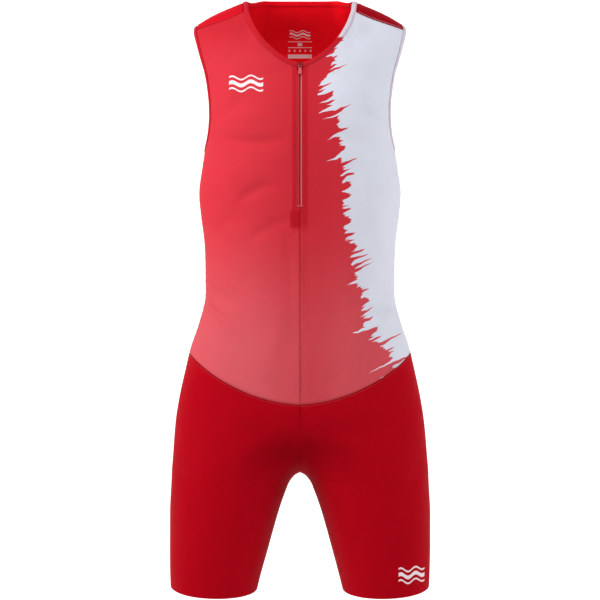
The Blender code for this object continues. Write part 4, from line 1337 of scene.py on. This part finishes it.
class SUIT_OT_legs(bpy.types.Operator):
    """Adds the two leg panels, with their clean edged hems"""

    bl_idname = "suit.legs"
    bl_label = "Legs"

    def execute(self, context):
        p, colours = pattern(), context.scene.suit_colours
        rise_rows = HIP_ROWS + THIGH_ROWS
        rows, fork = graded(rise_rows, 0.36), HIP_ROWS / rise_rows
        below = rows >= fork
        outer = sampled(p.leg, rows, graded(p.leg.shape[1] - 1, 0.5))
        inner_rows = (rows[below] - fork) / (1 - fork)
        inner = sampled(p.inner_leg, inner_rows, np.linspace(0, 1, INNER_LEG_COLUMNS + 1))
        inner[:, 0], inner[:, -1] = outer[below, -1], outer[below, 0]
        for side, turned, mark in (("left", np.array, ((168, -853), (42, 21))), ("right", mirrored, None)):
            material = deep_knit_material(f"stretch_knit_{side}_leg", colours, mark)
            leg = panel(f"leg_{side}_panel", [turned(outer), turned(inner)], material)
            finished(leg, "deep_red_knit", f"leg_{side}", flat=(0.58, 0.42), area=0.185)
        return {"FINISHED"}


class SUIT_OT_bindings(bpy.types.Operator):
    """Adds the folded bindings round the neck and both armholes"""

    bl_idname = "suit.bindings"
    bl_label = "Bindings"

    def execute(self, context):
        p = pattern()
        material = binding_material(context.scene.suit_colours)
        half = evenly(p.neck, 170)
        free = settled(half + NECK_BAND_WIDTH * sideways(half, NECK_CENTRE))
        free[0] = settled(half[0] + np.array([0, 0, NECK_BAND_WIDTH]))
        half[-1, 0] = free[-1, 0] = 0
        line, edge = (np.concatenate([points, mirrored(points)[-2::-1]]) for points in (half, free))
        neck = band_object("neck_binding_band", line, edge, False, material)
        finished(neck, "binding", "neck_binding")
        ring = evenly(p.armhole, 150)
        ring[-1] = ring[0]
        edge = settled(ring + ARM_BAND_WIDTH * sideways(ring, ARM_CENTRE))
        edge[-1] = edge[0]
        for side, turned in (("left", np.array), ("right", mirrored)):
            band = band_object(f"armhole_binding_{side}_band", turned(ring), turned(edge), True, material)
            finished(band, "binding", f"armhole_binding_{side}", flat=(0.0105, 0.395))
        return {"FINISHED"}


class SUIT_OT_zip(bpy.types.Operator):
    """Adds the zip's tapes and coil, and dresses its slider and pull"""

    bl_idname = "suit.zip"
    bl_label = "Zip"

    def execute(self, context):
        colours, sewing = context.scene.suit_colours, context.scene.suit_sewing
        low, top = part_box("zip_tape_left")
        heights = np.linspace(TAPE_END, top.z - CHAIN_SHORT, 120)
        tape = tape_material()
        for side, name in ((1, "left"), (-1, "right")):
            sheet = Sheet([front_points(np.linspace(low.x, top.x, 6)[None] * side, heights[:, None])])
            offsets = fold_offsets(sheet.points) - (sewing.wall + TAPE_SET_BACK)
            strip = cloth_object(f"zip_tape_{name}_strip", sheet, offsets, TAPE_WALL, tape)
            finished(strip, "zip_tape", f"zip_tape_{name}", flat=(0.0115, 0.252))
        height = np.linspace(ZIP_END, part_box("zip_chain")[1].z - CHAIN_SHORT, 300)
        line = raised(front_points(0.0, height), -sewing.wall - CHAIN_SET_BACK)
        aside, half_pitch = np.array([TOOTH_ASIDE, 0, 0]), np.array([0, 0, sewing.tooth_pitch / 2])
        rows = [line + aside, line + half_pitch - aside]
        size = sewing.tooth_pitch, TOOTH_LENGTH, TOOTH_THICKNESS, math.pi / 2
        finished(beads_on("zip_coil", rows, bead_tree(), coil_material(), *size), "zip_tape", "zip_chain")
        x = np.linspace(-COIL_CORE_HALF, COIL_CORE_HALF, 4)
        behind = line - COIL_CORE_SET_BACK * outward(line)
        sheet = Sheet([behind[:, None] + np.stack([x, 0 * x, 0 * x], axis=-1)[None]])
        core = cloth_object("zip_coil_core", sheet, np.zeros(len(sheet.points)), TAPE_WALL, tape)
        finished(core, "zip_tape")
        dressed = {"zip_slider": slider_material(colours), "zip_pull": pull_material(colours)}
        for node, material in dressed.items():
            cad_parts[node].data.materials.clear()
            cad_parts[node].data.materials.append(material)
        return {"FINISHED"}


class SUIT_OT_stitching(bpy.types.Operator):
    """Adds the stitch rows beside every seam and on the bindings"""

    bl_idname = "suit.stitching"
    bl_label = "Stitching"

    def execute(self, context):
        p, colours, sewing = pattern(), context.scene.suit_colours, context.scene.suit_sewing
        tree = bead_tree()
        red = thread_material("polyester_thread_red", colours.thread)
        pale = thread_material("polyester_thread_grey", "#b5b1c2")
        bright = thread_material("polyester_thread_bright", "#dd5560")
        stitch = sewing.stitch, STITCH_SHARE * sewing.stitch, sewing.thread

        def sew(name, lines, thread=red, size=stitch):
            finished(beads_on(name, lines, tree, thread, *size), "binding")

        for name, (line, points_to, bare) in {
            # each seam's line, the points its stitch rows lie towards, and the steps left bare at its ends
            "waist": (p.waist, ((0, 0, 0), (0, 0, -1.2)), 0),
            "sides": (p.side, ((0, 1, -0.3), (0, -1, -0.3)), 5),
            "shoulders": (p.front[-1], ((0, 1, 0.7), (0, -1, -0.3)), 16),
            "crotch": (p.crotch[p.crotch[:, 1] > 0], ((0.5, 0, -0.6),), 0),
            "armholes": (p.armhole, ((0, 0, -0.45),), 0),
        }.items():
            line = evenly(line, ROW_STEPS)[bare : ROW_STEPS + 1 - bare]
            laid = [on_cloth(p, line, sewing.row_gap, point) for point in points_to]
            sew(f"stitches_{name}_left", laid, pale if name == "shoulders" else red)
            sew(f"stitches_{name}_right", [mirrored(row) for row in laid])
        neck = evenly(p.neck, 300)
        neck = raised(settled(neck + NECK_ROW_GAP * sideways(neck, NECK_CENTRE)), NECK_ROW_LIFT)[6:]
        sew("stitches_neck", [neck, mirrored(neck)])
        beside = p.zip_edge[(p.zip_edge[:, 2] > ZIP_END) & (p.zip_edge[:, 2] < SLOT_NARROW_START)]
        beside = on_cloth(p, beside, ZIP_ROW_GAP, (0.3, 0, -0.2))
        sew("stitches_zip", [beside, mirrored(beside)])
        x, drops = np.linspace(-TACK_HALF, TACK_HALF, 20), TACK_FIRST + TACK_PITCH * np.arange(4)
        tacks = [front_points(x, ZIP_END - drop) for drop in drops]
        sew("bar_tack", [raised(row, zip_offsets(row) + TACK_LIFT) for row in tacks], bright, TACK_STITCH)
        return {"FINISHED"}


class SUIT_OT_studio(bpy.types.Operator):
    """Adds the pale curved backdrop, the soft boxes and the camera"""

    bl_idname = "suit.studio"
    bl_label = "Studio"

    def execute(self, context):
        scene, studio = context.scene, context.scene.suit_studio
        material, add, shader = new_material("matt_paper_backdrop")
        place, aside, behind, _ = place_of(add)
        away = add("VectorMath", add("CombineXYZ", aside, behind), operation="LENGTH")
        glow = add("Math", where(add, (behind, 0, 500)), where(add, (away, 1500, 2600)), **MOST)
        fill(shader, {
            "Base Color": add("Mix", add("TexNoise", place, 25.0, 2.0), "#ececec", "#f4f4f4", **COLOUR),
            "Roughness": 0.9,
            "Emission Color": "#ffffff",
            "Emission Strength": add("Math", glow, studio.paper_glow, **TIMES),
        })
        floor, back, curve, half_width, top = -0.97, 4.4, 0.9, 4.5, 3.4
        profile = [(-half_width, floor), (back - curve, floor)]
        for angle in np.radians(np.linspace(8, 90, 11)):
            profile.append((back - curve + curve * math.sin(angle), floor + curve - curve * math.cos(angle)))
        profile.append((back, top))
        points = [(x, y, z) for x in (-half_width, half_width) for y, z in profile]
        count = len(profile)
        mesh = bpy.data.meshes.new("backdrop")
        mesh.from_pydata(points, [], [(count + k + 1, count + k, k, k + 1) for k in range(count - 1)])
        mesh.shade_smooth()
        new_object("backdrop", mesh, material)
        for name, place, size, power in (
            ("key_soft_box", (-2.0, -1.0, 0.55), (1.0, 1.6), studio.key),
            ("fill_soft_box", (2.2, -0.7, 0.1), (1.0, 2.0), studio.fill),
            ("top_soft_box", (-0.4, -0.9, 1.75), (1.1, 0.7), studio.top),
        ):
            light = bpy.data.lights.new(name, "AREA")
            light.shape, light.size, light.size_y, light.energy = "RECTANGLE", *size, power
            lamp = bpy.data.objects.new(name, light)
            lamp.location = place
            x, y, z = np.array([0, 0, LAMPS_AIM]) - np.array(place)
            lamp.rotation_euler = (math.atan2(math.hypot(x, y), -z), 0, math.atan2(-x, y))
            scene.collection.objects.link(lamp)
        scene.world = bpy.data.worlds.new("white_room")
        scene.world.use_nodes = True
        tree = scene.world.node_tree
        seen = add_node(tree, "LightPath", out="Is Camera Ray")
        strength = add_node(tree, "MapRange", seen, 0.0, 1.0, studio.room, 1.0)
        fill(tree.nodes["Background"], {"Color": "#ffffff", "Strength": strength})
        scene.view_settings.view_transform = "Standard"
        camera = bpy.data.objects.new("camera", bpy.data.cameras.new("camera"))
        camera.location = (0, -studio.distance, studio.height)
        camera.rotation_euler = (math.pi / 2, 0, 0)
        camera.data.lens = studio.lens
        scene.collection.objects.link(camera)
        scene.camera = camera
        return {"FINISHED"}


class SUIT_PT_panel(bpy.types.Panel):
    """Lists the suit's settings and its pieces"""

    bl_label = "Triathlon suit"
    bl_space_type = "VIEW_3D"
    bl_region_type = "UI"
    bl_category = "Suit"

    def draw(self, context):
        for group in (context.scene.suit_colours, context.scene.suit_sewing, context.scene.suit_studio):
            for name in type(group).__annotations__:
                self.layout.prop(group, name)
        for operator in OPERATORS:
            self.layout.operator(operator.bl_idname)


OPERATORS = (
    SUIT_OT_fronts,
    SUIT_OT_back,
    SUIT_OT_legs,
    SUIT_OT_bindings,
    SUIT_OT_zip,
    SUIT_OT_stitching,
    SUIT_OT_studio,
)
GROUPS = {"suit_colours": SuitColours, "suit_sewing": SuitSewing, "suit_studio": SuitStudio}


def register():
    for cls in (*GROUPS.values(), *OPERATORS, SUIT_PT_panel):
        bpy.utils.register_class(cls)
    for name, group in GROUPS.items():
        setattr(bpy.types.Scene, name, bpy.props.PointerProperty(type=group))


def unregister():
    for name in GROUPS:
        delattr(bpy.types.Scene, name)
    for cls in (SUIT_PT_panel, *reversed(OPERATORS), *GROUPS.values()):
        bpy.utils.unregister_class(cls)


def main():
    register()
    bpy.ops.suit.fronts()
    bpy.ops.suit.back()
    bpy.ops.suit.legs()
    bpy.ops.suit.bindings()
    bpy.ops.suit.zip()
    bpy.ops.suit.stitching()
    bpy.ops.suit.studio()
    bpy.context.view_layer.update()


if __name__ == "__main__":
    main()
